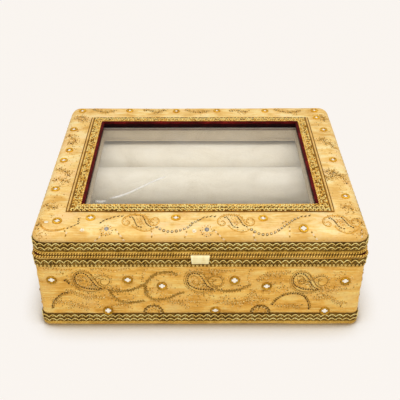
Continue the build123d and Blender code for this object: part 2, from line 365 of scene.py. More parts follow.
def silk(name, pale, middle, deep, patch, painted_side_shade=0.0):
    """Raw silk: uneven yarn in fine lines, a few thick slubs, soft dye patches and a low sheen."""
    finish = Finish(name, Specular_IOR_Level=0.15, Sheen_Weight=0.15, Sheen_Roughness=0.4,
                    Sheen_Tint="ffde9c")
    up = finish.level(finish.facing("Z"), 0.45, 0.75)

    def woven(wall, top, *grain):
        """Yarn runs level round the walls, and from side to side on the top."""
        return finish.noise(wall, 1.0, *grain) * (1 - up) + finish.noise(top, 1.0, *grain) * up

    yarn = woven((70, 70, 700), (70, 700, 70), 3.0, 0.6)
    # Soft folds stand in the relief, and their light and shade are also painted into the colour.
    fold = woven((20, 20, 74), (26, 60, 26), 4.0, 0.6, 1.0)
    # Thin pale streaks: fine ridges in the relief, with a painted highlight along each.
    ridge_painted_highlight = finish.level(woven((34, 34, 430), (34, 430, 34), 2.0, 0.5, 0.4), 0.61, 0.67)
    dye = finish.noise(1, 30.0, 5.0, 0.7)
    slub = finish.level(yarn, 0.57, 0.68)
    fleck = finish.level(finish.noise(1, 420.0, 3.0, 0.7), 0.57, 0.66)
    tone = yarn * 0.2 + fold * 0.45 + dye * 0.35
    colour = finish.ramp(tone, (0.4, deep), (0.5, middle), (0.6, pale))
    mixes = [(finish.level(dye, 0.48, 0.66) * 0.6, patch), (slub * 0.5, pale), (ridge_painted_highlight * 0.6, pale),
             (fleck * 0.4, deep)]
    # Painted shade: where asked, the colour turns towards the deep tone as the cloth turns down from the
    # top.
    if painted_side_shade:
        mixes.append(((1 - finish.level(finish.facing("Z"), 0.0, 0.95)) * painted_side_shade, deep))
    for share, other in mixes:
        colour = finish.tint(share, colour, other)
    weave = finish.noise(1500, 1.0, 2.0, 0.7)
    height = yarn * 0.45 + fold * 1.1 + weave * 0.22 + slub * 0.3 + ridge_painted_highlight * 0.5
    sheen = 0.64 - 0.22 * finish.level(yarn, 0.45, 0.7)
    return finish.surface(Base_Color=colour, Roughness=sheen, Normal=finish.bump(height, 0.8, 0.6))


def wrinkled(piece, depth, along, across, seed):
    """Level wrinkles of a cloth pulled tight, in metres of depth and cycles a metre."""
    shifts = []
    for vert in piece.data.vertices:
        x, y, z = vert.co
        wall = noise.noise(Vector((x * along, y * along, z * across + seed)))
        top = noise.noise(Vector((x * along, y * across * 0.5 + seed, 3.3)))
        flat = min(1, max(0, (abs(vert.normal.z) - 0.3) / 0.5))
        shifts.append(vert.normal * depth * (wall * (1 - flat) + top * flat))
    for vert, shift in zip(piece.data.vertices, shifts):
        vert.co += shift


def surface_of(piece):
    """The piece's outer face as it is now, for stitches to land on."""
    faces = [list(face.vertices) for face in piece.data.polygons]
    return BVHTree.FromPolygons([vert.co.copy() for vert in piece.data.vertices], faces)


base_silk = silk("base_raw_silk", "ffe18a", "f5c05e", "d4993c", "e8ba6e")
low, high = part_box("base_silk_cover")
base_cover = block("base_silk", low, high)
walls(base_cover, BASE_CORNER, 96, 60)
rippled(base_cover, "silk_ripple", 0.035, 0.4)
wrinkled(base_cover, 0.7 * MM, 18.0, 120.0, 4.0)
base_surface = surface_of(base_cover)
thicken(base_cover, SILK_THICKNESS)
dress(base_cover, base_silk, "base", "silk", "base_silk_cover")

# Lid silk cover. The same silk is drawn over wadding, so the lid's edges and corners are round,
# and it is turned down into the window opening and up under the lid's rim.
LID_CORNER = 13.0
LID_ROUND = 10.5
LID_CUT_STEP = 15.0 * MM

# The lid's silk is a paler copy of the base silk: painted light on the lid's top.
lid_silk = silk("lid_raw_silk_painted_light", "ffeeb0", "f8d080", "deaa54", "face92", painted_side_shade=0.68)
low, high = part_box("lid_silk_cover")
opening_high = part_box("window_velvet_edging")[1]
lid_cover = block("lid_silk", low, high)


def faces_down(face):
    return face.normal.z < -FACES_ONE_WAY


def top_edge(edge):
    """True for the lid's outer top edges, arcs included."""
    level = all(abs(place.z - high.z) < 1e-5 for place in ends(edge))
    outer = [face for face in edge.link_faces if abs(face.normal.z) < 0.5]
    return level and len(outer) == 1


def over_opening(face):
    centre = face.calc_center_median()
    inside = abs(centre.x) < opening_high.x and abs(centre.y) < opening_high.y
    return face.normal.z > FACES_ONE_WAY and inside


def even_cuts(inner, outer):
    """Places of cuts from the middle out: even steps, and one at the opening's edge."""
    count = round(inner / LID_CUT_STEP)
    beyond = round((outer - inner) / LID_CUT_STEP)
    inside = [inner * index / count for index in range(count + 1)]
    return inside + [inner + (outer - inner) * index / beyond for index in range(1, beyond)]


cut_away(lid_cover, faces_down)
bevel(lid_cover, upright, LID_CORNER, 7)
bevel(lid_cover, top_edge, LID_ROUND, 7)
for axis, normal in ((0, (1, 0, 0)), (1, (0, 1, 0))):
    for cut in even_cuts(opening_high[axis], high[axis] - LID_CORNER * MM):
        for sign in (-1, 1):
            place = [sign * cut if index == axis else 0 for index in range(3)]
            edit_step(lid_cover, every, bpy.ops.mesh.bisect, plane_co=place, plane_no=normal)
cut_away(lid_cover, over_opening)
divide(lid_cover, 2)
rippled(lid_cover, "padding_swell", 0.06, 0.9)
wrinkled(lid_cover, 0.35 * MM, 16.0, 110.0, 9.0)
lid_surface = surface_of(lid_cover)
thicken(lid_cover, SILK_THICKNESS)
dress(lid_cover, lid_silk, "lid", "silk", "lid_silk_cover")

# Braids. Three woven metal braids are glued round the box: a dark ground with raised zigzag rows
# of paler gimp, one or two rows high, and a bright edge. Each is one strip closed at the back.
ZIGZAG_PITCH = 7.7
ZIGZAG_STEPS = 8
GROUND_PROUD = 0.6
EDGE_STEPS = 240


def round_rectangle(half_x, half_y, corner, count):
    """Even steps round a rectangle with round corners, each with its outward direction."""
    far_x = half_x - corner
    far_y = half_y - corner
    straights = (2 * far_x, 2 * far_y)
    arc = pi / 2 * corner
    centres = ((far_x, -far_y), (far_x, far_y), (-far_x, far_y), (-far_x, -far_y))
    total = 2 * sum(straights) + 4 * arc
    spots = []
    for index in range(count):
        along = index / count * total
        for side in range(4):
            angle = side * pi / 2
            direction = Vector((cos(angle), sin(angle)))
            outward = Vector((direction.y, -direction.x))
            if along <= straights[side % 2]:
                place = Vector(centres[side - 1]) + outward * corner + direction * along
                spots.append((place, outward))
                break
            along -= straights[side % 2]
            if along <= arc:
                outward.rotate(Matrix.Rotation(along / corner, 2))
                spots.append((Vector(centres[side]) + outward * corner, outward))
                break
            along -= arc
    return spots


def round_box(corner, proud, count):
    return round_rectangle(BASE_HALF[0] + proud, BASE_HALF[1] + proud, corner + proud, count)


def girth(corner, proud=0.0):
    """The way round the box in millimetres, a little less where the corners are round."""
    return 4 * (BASE_HALF[0] + proud + (BASE_HALF[1] + proud)) - 1.7 * corner


def linked(name, data):
    piece = bpy.data.objects.new(name, data)
    bpy.context.collection.objects.link(piece)
    return piece


def on_all(piece, *steps):
    """Runs modelling operators, each with its settings, on the whole piece in edit mode."""
    take(piece)
    bpy.ops.object.mode_set(mode="EDIT")
    bpy.ops.mesh.select_all(action="SELECT")
    for step, settings in steps:
        step(**settings)
    bpy.ops.object.mode_set(mode="OBJECT")


def tubes(name, lines, radius, closed=False, roundness=1):
    """Round threads along lines of points in millimetres, all in one mesh."""
    curve = bpy.data.curves.new(name, "CURVE")
    curve.dimensions = "3D"
    curve.bevel_depth = radius * MM
    curve.bevel_resolution = roundness
    curve.use_fill_caps = not closed
    for line in lines:
        spline = curve.splines.new("POLY")
        spline.points.add(len(line) - 1)
        for point, place in zip(spline.points, line):
            point.co = (place[0] * MM, place[1] * MM, place[2] * MM, 1)
        spline.use_cyclic_u = closed
    take(linked(name, curve))
    bpy.ops.object.convert(target="MESH")
    piece = bpy.context.object
    on_all(piece, (bpy.ops.mesh.remove_doubles, {"threshold": 1e-6}),
           (bpy.ops.mesh.normals_make_consistent, {"inside": False}))
    return smooth(piece, 50)


def thread(name, pale, deep, rough, metal, grain=900.0):
    """Metal-wrapped thread: a fine spiral of wire, with painted glints and painted shade in turn along it.
    """
    finish = Finish(name, Metallic=metal, Specular_IOR_Level=0.15)
    wrap = finish.noise((grain, grain, grain * 1.6), 1.0, 2.0, 0.6)
    broad = finish.noise(1, 90.0, 2.0, 0.6)
    tone = finish.level(wrap * 0.65 + broad * 0.35, 0.38, 0.62)
    return finish.surface(Base_Color=finish.tint(tone, deep, pale), Normal=finish.bump(wrap, 0.25, 0.6),
                          Roughness=rough + 0.2 * (1 - tone))


def threads_by_kind(prefix, *looks):
    return {kind: thread(prefix + kind, *look) for kind, *look in looks}


def template(add, **settings):
    """The mesh of a small shape that is copied many times; the first one is taken away."""
    piece = placed("template", add, **settings)
    verts = [vert.co.copy() for vert in piece.data.vertices]
    faces = [tuple(face.vertices) for face in piece.data.polygons]
    bpy.data.objects.remove(piece)
    return verts, faces


def copies(name, shape, spots):
    """One mesh that holds a copy of a small shape at each spot."""
    verts, faces = shape
    all_verts = [spot @ vert for spot in spots for vert in verts]
    all_faces = [
        [index * len(verts) + corner for corner in face] for index in range(len(spots)) for face in faces
    ]
    mesh = bpy.data.meshes.new(name)
    mesh.from_pydata(all_verts, [], all_faces)
    return smooth(linked(name, mesh), 60)


def frame_at(place, normal, tangent, size):
    """Where a copy goes: its own Z along the normal and its X along the tangent, sizes in mm."""
    up = normal.normalized()
    along = (tangent - up * tangent.dot(up)).normalized()
    turned = Matrix((along, up.cross(along), up)).transposed().to_4x4()
    scale = Matrix.Diagonal((size[0] * MM, size[1] * MM, size[2] * MM, 1))
    return Matrix.Translation(place) @ turned @ scale


def zigzag(corner, proud, middle, rise):
    """A thread that rises and falls in round-topped points all round the box."""
    pitches = round(girth(corner, proud) / ZIGZAG_PITCH)
    line = []
    for index, (place, outward) in enumerate(round_box(corner, proud, pitches * ZIGZAG_STEPS)):
        wave = abs(sin(pi * (index / ZIGZAG_STEPS)))
        swell = 0.25 * wave
        height = middle + rise * (2 * wave - 1)
        line.append((place.x + outward.x * swell, place.y + outward.y * swell, height))
    return line


def edge_line(corner, height):
    return [(place.x, place.y, height) for place, outward in round_box(corner, GROUND_PROUD, EDGE_STEPS)]


def knots_between(corner, rows):
    """Knots of thread between the points of a zigzag: pale below the points, dark above."""
    knots = {"pale": [], "dark": []}
    halves = round_box(corner, GROUND_PROUD, 2 * round(girth(corner) / ZIGZAG_PITCH))
    for middle, rise in rows:
        for index, (place, outward) in enumerate(halves):
            kind, share, size = (("dark", 0.6, (2.4, 1.3, 1.0)), ("pale", -0.75, (1.7, 1.1, 1.1)))[index % 2]
            spot = Vector((place.x, place.y, middle + share * rise)) * MM
            along = Vector((-outward.y, outward.x, 0.4 if index % 4 > 1 else -0.4))
            knots[kind].append(frame_at(spot, Vector((*outward, 0)), along, size))
    return knots


GRAIN = template(bpy.ops.mesh.primitive_ico_sphere_add, subdivisions=1, radius=0.5)
braid = threads_by_kind(
    "braid_",
    ("ground", "9e7828", "4a3203", 0.6, 0.12, 700.0),
    ("cream_gimp", "fff6ac", "deb250", 0.4, 0.12),
    ("gold_gimp", "9e762e", "583c0e", 0.45, 0.3),
    ("bright_edge", "ecc25e", "b48832", 0.4, 0.2),
    ("dark_edge", "6c4e1a", "3a2606", 0.6, 0.15),
    ("picot", "ffe896", "d8ac54", 0.45, 0.2),
)
BRAIDS = (
    ("base_bottom_braid", BASE_CORNER, [(13.0, 1.5), (8.1, 1.5)], [(11.6, 1.5), (6.7, 1.5)], [4.7, 3.2],
     [15.9]),
    ("base_top_braid", BASE_CORNER, [(84.7, 1.8)], [(82.9, 1.6)], [], []),
    ("lid_braid", LID_CORNER, [(105.9, 1.5), (101.0, 1.5)], [(104.5, 1.5), (99.6, 1.5)], [96.3], [107.9]),
)
for node, corner, cream, gold, bright, dark in BRAIDS:
    body = node.split("_")[0]
    low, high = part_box(node)
    side = Vector((BASE_HALF[0] + GROUND_PROUD, BASE_HALF[1] + GROUND_PROUD)) * MM
    ground = block(node + "_ground", (-side.x, -side.y, low.z), (side.x, side.y, high.z))
    walls(ground, corner + GROUND_PROUD, 80, 8)
    rippled(ground, node + "_ripple", 0.012, 0.3)
    dress(thicken(ground, 0.55), braid["ground"], body, "braid", node)
    parts = []
    for kind, lines, radius in (
        ("cream_gimp", [zigzag(corner, 0.95, *row) for row in cream], 0.46),
        ("gold_gimp", [zigzag(corner, 0.75, *row) for row in gold], 0.4),
        ("bright_edge", [edge_line(corner, height) for height in bright], 0.7),
        ("dark_edge", [edge_line(corner, height) for height in dark], 0.5),
    ):
        if lines:
            gimp = tubes(f"{node}_{kind}", lines, radius, True)
            parts.append(dress(gimp, braid[kind], body, "braid"))
    knots = knots_between(corner, cream)
    for kind, material in (("pale", braid["cream_gimp"]), ("dark", braid["dark_edge"])):
        knotted = copies(f"{node}_{kind}_knots", GRAIN, knots[kind])
        parts.append(dress(knotted, material, body, "braid"))

# Row of small loops. The upper base braid ends below in a row of small picot loops of pale metal
# thread, which stand side by side all round the box.
LOOP_GAP = 3.9
LOOP_PROUD = 0.8
LOOP_MIDDLE = 79.7
LOOP_HALF = (0.75, 0.95)
loop_lines = []
for place, outward in round_box(BASE_CORNER, LOOP_PROUD, round(girth(0) / LOOP_GAP)):
    ring = []
    for step in range(8):
        angle = step / 8 * 2 * pi
        across = LOOP_HALF[0] * cos(angle)
        height = LOOP_MIDDLE + LOOP_HALF[1] * sin(angle)
        ring.append((place.x - outward.y * across, place.y + outward.x * across, height))
    loop_lines.append(ring)
picots = tubes("base_top_braid_picots", loop_lines, 0.42, True, 0)
dress(picots, braid["picot"], "base", "braid")

# Gold cords. Two-ply twisted cords are glued over the silk's turned edges at the joint; they stop
# on each side of a hinge knuckle, and leave each other free where the lid turns.
CORD_PITCH = 2.7
CORD_STEPS = 6
CORD_PROUD = 0.55
HINGE_X = 95.0
HINGE_GAP = 17.0
TURN_ROOM = 20.0


def cord_ply(corner, height, lift, spread, twist):
    """One ply of a cord; lift moves it toward the joint everywhere but at the back."""
    turns = round(girth(corner, CORD_PROUD) / CORD_PITCH)
    lines = [[]]
    for index, (place, outward) in enumerate(round_box(corner, CORD_PROUD, turns * CORD_STEPS)):
        if place.y > BASE_HALF[1] - 1 and abs(abs(place.x) - HINGE_X) < HINGE_GAP:
            if lines[-1]:
                lines.append([])
            continue
        angle = 2 * pi * (index / CORD_STEPS + twist)
        out = spread * cos(angle)
        near_front = min(1, max(0, (BASE_HALF[1] - place.y) / TURN_ROOM))
        up = height + lift * near_front + spread * sin(angle)
        lines[-1].append((place.x + outward.x * out, place.y + outward.y * out, up))
    lines[0] = lines.pop() + lines[0]
    return lines


cord = threads_by_kind(
    "cord_", ("gold", "fed674", "d2a23e", 0.4, 0.25), ("dark", "a4762c", "5a3e0e", 0.5, 0.2)
)
for body, corner, height, radius, lift in (
    ("base", BASE_CORNER, 90.8, 0.85, 0.25),
    ("lid", LID_CORNER, 94.7, 0.72, -0.2),
):
    node = body + "_rim_cord"
    for ply, twist, colour in (("first", 0.0, "gold"), ("second", 0.5, "dark")):
        strand = tubes(f"{node}_{ply}_ply", cord_ply(corner, height, lift, radius * 0.75, twist), radius)
        dress(strand, cord[colour], body, "gold_cord")
    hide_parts(node)

# Lace round the window. A strip of gold metal lace on a net ground, mitred at the corners: fine
# gold grains in herringbone rows, a ribbed edge along the sides, and scallops over the velvet.
LACE_TOP = 119.75
UP = Vector((0, 0, 1))
ROW_GAP = 1.7
GRAIN_GAP = 2.3
PIPING_OVERLAP = 1.9
LOOP_PITCH = 4.4
lace_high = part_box("window_lace")[1]
inner_x = opening_high.x / MM - 1.2
inner_y = opening_high.y / MM - 1.2
outer_x = lace_high.x / MM
outer_y = lace_high.y / MM
lace = threads_by_kind(
    "lace_",
    ("net_ground", "d6a03c", "8e6218", 0.6, 0.12, 1100.0),
    ("gold_grain", "ffd670", "e2aa42", 0.34, 0.25),
    ("pale_grain", "fff4a8", "ffd876", 0.34, 0.1),
    ("dark_grain", "926420", "54360a", 0.5, 0.2),
    ("rib", "fad484", "dcac58", 0.4, 0.2),
)


def middle(face):
    centre = face.calc_center_median()
    return abs(centre.x) < 1e-4 and abs(centre.y) < 1e-4


net = placed("window_lace_net", bpy.ops.mesh.primitive_plane_add,
             (2 * outer_x * MM, 2 * outer_y * MM, 1), size=1, location=(0, 0, LACE_TOP * MM))
edit_step(net, every, bpy.ops.mesh.inset, "FACE", thickness=(outer_y - inner_y) * MM)
stretch = inner_x / (outer_x - outer_y + inner_y)
edit_step(net, middle, bpy.ops.transform.resize, "FACE", value=(stretch, 1, 1))
cut_away(net, middle)
divide(net, 5)
rippled(net, "lace_ripple", 0.01, 0.3, "Z")
dress(thicken(net, 0.6), lace["net_ground"], "lid", "gold_lace", "window_lace")


class Strip:
    """One of the four mitred strips; axis 0 runs from side to side, axis 1 from front to back."""

    def __init__(self, axis, sign, overlap, margin):
        self.axis = axis
        self.sign = sign
        self.outer, across_inner = ((outer_y, inner_y), (outer_x, inner_x))[axis]
        self.run = ((outer_x, inner_x), (outer_y, inner_y))[axis]
        self.full = self.outer - across_inner
        self.inner = across_inner + overlap
        self.margin = margin

    def reach(self, from_outer):
        """How far a row of the lace reaches each way before it meets the mitre."""
        return self.run[0] + (self.run[1] - self.run[0]) * from_outer / self.full

    def spot(self, along, from_outer, height):
        across = self.sign * (self.outer - from_outer)
        return (across, along, height) if self.axis else (along, across, height)

    def wave(self, from_outer, pitch, rise, height):
        """A looped thread along the strip, in round-topped waves."""
        reach = self.reach(from_outer)
        count = round(2 * reach / pitch)
        line = []
        for index in range(count * 6 + 1):
            across = from_outer + rise * (abs(sin(pi * index / 6)) - 0.5)
            line.append(self.spot(-reach + index / 6 * 2 * reach / count, across, height))
        return line


STRIPS = (Strip(0, -1, 0, 0.9), Strip(0, 1, PIPING_OVERLAP, 0.9), Strip(1, -1, PIPING_OVERLAP, 4.6),
          Strip(1, 1, PIPING_OVERLAP, 4.6))
chance = random.Random(41)
grains = {"gold": [], "pale": [], "dark": []}
for strip in STRIPS:
    width = strip.outer - strip.inner - strip.margin
    rows = round(width / ROW_GAP)
    for row in range(rows):
        from_outer = strip.margin + (row + 0.5) * width / rows
        reach = strip.reach(from_outer)
        count = int(2 * reach / GRAIN_GAP)
        for index in range(count):
            along = -reach + (index + 0.5) * 2 * reach / count + chance.uniform(-0.3, 0.3)
            lean = radians(42 if row % 2 else -42) + chance.uniform(-0.3, 0.3)
            tangent = Vector((cos(lean), sin(lean), 0))
            if strip.axis:
                tangent = Vector((-tangent.y, tangent.x, 0))
            draw = chance.random()
            kind = "pale" if draw > 0.56 else "dark" if draw < 0.27 else "gold"
            lift = 0.1 if kind == "dark" else 0.4
            jog = from_outer + chance.uniform(-0.15, 0.15)
            place = Vector(strip.spot(along, jog, LACE_TOP + lift)) * MM
            length = chance.uniform(2.0, 2.9)
            grains[kind].append(frame_at(place, UP, tangent, (length, 1.3, 1.1)))


def side_lines(distance, height, radius):
    """The two straight ribs that run the full length of the left and right strips."""
    lines = []
    for x in (distance - outer_x, outer_x - distance):
        lines.append([(x, -outer_y + radius + 12.0 * step, height) for step in range(18)])
        lines[-1][-1] = (x, outer_y - radius, height)
    return lines


rim = round_rectangle(outer_x - 0.2, outer_y - 0.2, 0.6, 160)
loops = ((STRIPS[0], 3.6), (STRIPS[0], 8.2), (STRIPS[1], 4.2))
for kind, spots in grains.items():
    piece = copies(f"window_lace_{kind}_grains", GRAIN, spots)
    dress(piece, lace[kind + "_grain"], "lid", "gold_lace")
for name, lines, radius, kind in (
    ("outer_edge", [[(place.x, place.y, LACE_TOP) for place, outward in rim]], 0.4, "dark_grain"),
    ("side_ribs", side_lines(2.0, LACE_TOP + 0.1, 0.95), 0.95, "rib"),
    ("side_grooves", side_lines(3.5, LACE_TOP, 0.5), 0.5, "dark_grain"),
    ("pale_loops", [strip.wave(at, LOOP_PITCH, 2.6, LACE_TOP + 0.75) for strip, at in loops], 0.42,
     "pale_grain"),
    ("dark_loops", [strip.wave(at - 1.1, LOOP_PITCH, 2.6, LACE_TOP + 0.55) for strip, at in loops],
     0.42, "dark_grain"),
    ("scallops", [strip.wave(strip.outer - strip.inner - 0.2, 3.4, 1.4, LACE_TOP + 0.35)
                  for strip in STRIPS], 0.5, "gold_grain"),
):
    piece = tubes("window_lace_" + name, lines, radius, name == "outer_edge")
    dress(piece, lace[kind], "lid", "gold_lace")

# Sewn work. Mirrors in gold rings, grey stones, sequins, beads and couched metal thread are sewn
# to the silk in paisleys and vines; every stitch lies on the cloth that carries it.
LID_ARC_Y = -BASE_HALF[1] + LID_ROUND
LID_ARC_Z = 119.0 - LID_ROUND
STITCH_AHEAD = 0.6
threads = {}
sewn = {}


def stitch(panel, along, up):
    """Where a stitch at a panel's millimetres meets the cloth, and the way that the cloth faces."""
    wall = {"front": ((along, -300, up), (0, 1, 0)), "back": ((-along, 300, up), (0, -1, 0)),
            "left": ((-300, -along, up), (1, 0, 0)), "right": ((300, along, up), (-1, 0, 0))}
    if panel in wall:
        start, aim = wall[panel]
    elif panel == "lid_top" or up > 0:
        start = (along, up if panel == "lid_top" else LID_ARC_Y + up, 300)
        aim = (0, 0, -1)
    else:
        angle = min(pi / 2, -up / LID_ROUND)
        below = max(0, -up - LID_ROUND * pi / 2)
        out = Vector((0, -sin(angle), cos(angle)))
        start = Vector((along, LID_ARC_Y, LID_ARC_Z - below)) + out * 60
        aim = -out
    surface = base_surface if panel in wall else lid_surface
    hit, normal, index, distance = surface.ray_cast(Vector(start) * MM, Vector(aim))
    if hit is None:
        return None
    return hit, -normal if normal.dot(Vector(aim)) > 0 else normal


def between(here, there, share):
    return [here[k] + (there[k] - here[k]) * share for k in (0, 1)]


def flowing(points, step):
    """Evenly spaced points on a smooth line through the given ones."""
    ends = [points[0], *points, points[-1]]
    fine = []
    for four in zip(ends, ends[1:], ends[2:], ends[3:]):
        for part in range(12):
            t = part / 12
            weights = (-0.5 * t + t * t - 0.5 * t ** 3, 1 - 2.5 * t * t + 1.5 * t ** 3,
                       0.5 * t + 2 * t * t - 1.5 * t ** 3, -0.5 * t * t + 0.5 * t ** 3)
            fine.append([sum(w * p[k] for w, p in zip(weights, four)) for k in (0, 1)])
    fine.append(list(points[-1]))
    spaced = [fine[0]]
    left = step
    for here, there in zip(fine, fine[1:]):
        gap = dist(here, there)
        while gap >= left:
            here = between(here, there, left / gap)
            spaced.append(here)
            gap -= left
            left = step
        left -= gap
    return spaced


def kept(store, panel, kind):
    """The list of what one body carries of one kind."""
    return store.setdefault(("lid" if panel.startswith("lid") else "base", kind), [])


def couch(kind, panel, points, lift=0.2):
    """Metal thread laid along a line and held by small stitches."""
    found = [stitch(panel, along, up) for along, up in flowing(points, 1.0)]
    laid = [(place + normal * lift * MM) / MM for place, normal in filter(None, found)]
    if len(laid) > 2:
        kept(threads, panel, kind).append(laid)


def sew(kind, panel, along, up, size, toward=(1, 0), lift=0.2):
    """One bead, ring or mirror; its length points along the panel's direction toward."""
    found = stitch(panel, along, up)
    ahead = stitch(panel, along + STITCH_AHEAD * toward[0], up + STITCH_AHEAD * toward[1])
    if not found or not ahead:
        return
    place, normal = found
    tangent = ahead[0] - place
    if tangent.length > 1e-6:
        kept(sewn, panel, kind).append(frame_at(place + normal * lift * MM, normal, tangent, size))


def string(kinds, panel, points, gap, size, lift=0.25, jitter=0.12):
    """Beads in a row; the kinds, written with spaces between them, take turns."""
    places = flowing(points, gap)
    kinds = kinds.split()
    for index, (along, up) in enumerate(places):
        last = index + 1 == len(places)
        near = places[index - 1 if last else index + 1]
        sign = -1 if last else 1
        toward = ((near[0] - along) * sign, (near[1] - up) * sign)
        reach = hypot(*toward) or 1
        along += chance.uniform(-jitter, jitter)
        up += chance.uniform(-jitter, jitter)
        grow = chance.uniform(0.9, 1.1)
        sized = [value * grow for value in size]
        sew(kinds[index % len(kinds)], panel, along, up, sized, [part / reach for part in toward], lift)


def sequins(panel, points, gap, rim, heart, size):
    """A row of small sequins: a thin rim of one colour, and a bead of another in each."""
    string(rim, panel, points, gap, (size, size, size * 0.7), jitter=0)
    string(heart, panel, points, gap, (size * 0.62, size * 0.56, size * 0.6), jitter=0.05)


def beside(points, distance):
    """A line kept at a distance beside another one."""
    fine = flowing(points, 1.5)
    moved = []
    for here, there in zip(fine, fine[1:]):
        share = distance / (dist(here, there) or 1)
        moved.append((here[0] - (there[1] - here[1]) * share, here[1] + (there[0] - here[0]) * share))
    return moved


def bead_rows(panel, points, *rows):
    """Rows of beads along a line, each at its own distance beside it."""
    for distance, kinds, gap, size, *rest in rows:
        row = beside(points, distance) if distance else points
        string(kinds, panel, row, gap, size, *rest)


def path(*tenths):
    """Points from their places along and up in turn, written in tenths of a millimetre."""
    return [(along / 10, up / 10) for along, up in zip(tenths[::2], tenths[1::2])]


def shifted(points, by):
    return [(along + by[0], up + by[1]) for along, up in points]


def arc_points(centre, radius, start, end, count=9, squash=1.0):
    turns = [radians(start + (end - start) * index / (count - 1)) for index in range(count)]
    return [(centre[0] + radius * cos(turn), centre[1] + radius * squash * sin(turn))
            for turn in turns]


def mirror(panel, along, up, across, thick):
    """A round mirror under a padded ring of gold thread, wound on a thick ring or a fine one."""
    disc = across * (0.92 if thick else 0.7)
    sew("mirror", panel, along, up, (disc, disc, across), lift=0.35)
    sew("mirror_ring" if thick else "fine_ring", panel, along, up, (across, across, across), lift=0.5)
    for index in range(12 if thick else 4):
        angle = 2 * pi * (index + 0.5) / 12 if thick else radians(45 + 90 * index)
        corner = index % 3 == 1
        reach = across * (0.5 if corner else 0.56) if thick else 0.31 * across
        size = (4.4 if corner else 3.0, 1.5, 1.5) if thick else (2.2, 2.4, 1.0)
        toward = (cos(angle), sin(angle))
        spot = (along + reach * toward[0], up + reach * toward[1])
        sew("wrap", panel, *spot, size, toward, 0.75 if thick else 0.9)


def sprinkle(panel, centre, reach, count, kinds="olive gold cream"):
    """Small beads scattered round a place, thicker in its middle."""
    kinds = kinds.split()
    for index in range(count):
        angle = chance.uniform(0, 2 * pi)
        out = chance.uniform(0, 1)
        spot = (centre[0] + reach[0] * out * cos(angle), centre[1] + reach[1] * out * sin(angle))
        toward = (cos(angle * 3), sin(angle * 3))
        sew(kinds[index % len(kinds)], panel, *spot, (1.3, 1.0, 0.8), toward, 0.2)


SMALL_BEAD = (1.2, 1.2, 1.0)
PAISLEY_EDGE = path(
    -111, 92, -82, 106, -34, 99, 5, 56, 33, 0, 62, -50, 103, -90, 126, -96, 101, -108, 35, -107, -30, -97,
    -83, -71, -123, -35, -137, 14, -130, 64, -111, 92,
)
PAISLEY_OUTLINE = path(
    -138, 92, -155, 36, -147, -28, -117, -81, -55, -125, 21, -139, 100, -125, 158, -93, 105, -57, 76, -7,
    48, 49, 15, 99, -32, 122, -86, 127, -138, 92,
)
PAISLEY_HEART = path(-103, 64, -69, 78, -38, 57, -20, 14, -35, -28, -73, -28, -86, 7, -63, 28)
PAISLEY_TAIL = path(-98, -52, -45, -76, 15, -88, 70, -86, 35, -50, 6, -15)
PAISLEY_CURL = path(
    56, 14, 93, 56, 138, 75, 186, 63, 215, 14, 200, -36, 160, -57, 123, -36, 121, 7, 156, 28,
)


def paisley(panel, centre):
    """A mango-shaped leaf: dark beads round it, gold thread and loops inside, a curl beside it."""
    curves = (PAISLEY_EDGE, PAISLEY_OUTLINE, PAISLEY_HEART, PAISLEY_TAIL, PAISLEY_CURL)
    edge, outline, heart, tail, curl = [shifted(curve, centre) for curve in curves]
    wide = shifted([(x * 1.12, z * 1.14) for x, z in PAISLEY_OUTLINE], centre)
    string("dark", panel, edge, 2.5, (2.0, 1.6, 1.2))
    couch("olive", panel, outline, 0.2)
    string("olive gold", panel, wide, 2.1, (1.3, 1.0, 0.8))
    couch("olive", panel, heart, 0.25)
    couch("olive", panel, tail, 0.25)
    string("gold", panel, heart, 1.6, SMALL_BEAD, 0.3)
    string("gold cream", panel, tail, 1.7, SMALL_BEAD, 0.3)
    for index in range(70):
        side = chance.uniform(-11.5, 6)
        room = 1 - max(0, side) / 8
        spot = (centre[0] + side, centre[1] - side * 0.55 - 2.5 + chance.uniform(-5, 5) * room)
        sew(("bright", "gold", "olive", "cream")[index % 4], panel, *spot, SMALL_BEAD, lift=0.2)
    couch("olive", panel, curl, 0.15)
    bead_rows(panel, curl, (0, "gold olive", 1.9, (1.3, 1.1, 0.8), 0.2),
              (1.8, "olive gold", 2.4, (1.2, 1.0, 0.8)))


def half_flower(panel, centre):
    """A round beaded flower, its lower half hidden under the braid."""
    for radius, kinds in ((10.2, "dark olive"), (7.9, "cream dark"), (5.6, "gold")):
        string(kinds, panel, arc_points(centre, radius, 0, 180, 12), 1.9, (1.8, 1.5, 1.0))
    couch("olive", panel, arc_points(centre, 9.1, 0, 180, 12))
    sprinkle(panel, (centre[0], centre[1] + 5), (11, 6), 26, "cream olive bright")


# Where each run of the pattern goes, from the middle of its paisley; and those at the right of
# the front, from the middle of the front.
FACE_RUNS = [
    ("ring", path(-238, 458, -184, 451, -136, 429, -94, 407, -41, 370, 15, 377, 93, 377, 159, 373)),
    ("vine", path(210, 465, 223, 414, 259, 370, 301, 325, 378, 303, 445, 310, 501, 317, 569, 332)),
    ("vine", path(200, 479, 276, 457, 343, 464, 409, 469, 466, 493, 522, 522, 567, 550, 602, 600, 648, 657,
     704, 691, 780, 705, 845, 701, 899, 663)),
    ("vine", path(567, 550, 573, 471, 578, 413, 615, 369, 670, 347, 737, 354, 816, 369, 883, 412, 961,
     442)),
    ("ring", path(815, 324, 870, 317, 926, 302, 959, 265, 1026, 220)),
    ("ring", path(-389, 304, -337, 312, -271, 308, -205, 296, -140, 274, -76, 236, -22, 206)),
    ("gold", path(-430, 742, -374, 753, -300, 742, -226, 728, -171, 735, -141, 714)),
    ("gold", path(553, 586, 562, 671, 575, 720, 603, 754)),
    ("dash", path(-239, 601, -214, 580, -191, 544)),
    ("gold", path(40, 735, 105, 748, 180, 734, 260, 715, 340, 732, 440, 746)),
    ("gold", path(220, 240, 290, 270, 360, 245, 440, 215)),
]
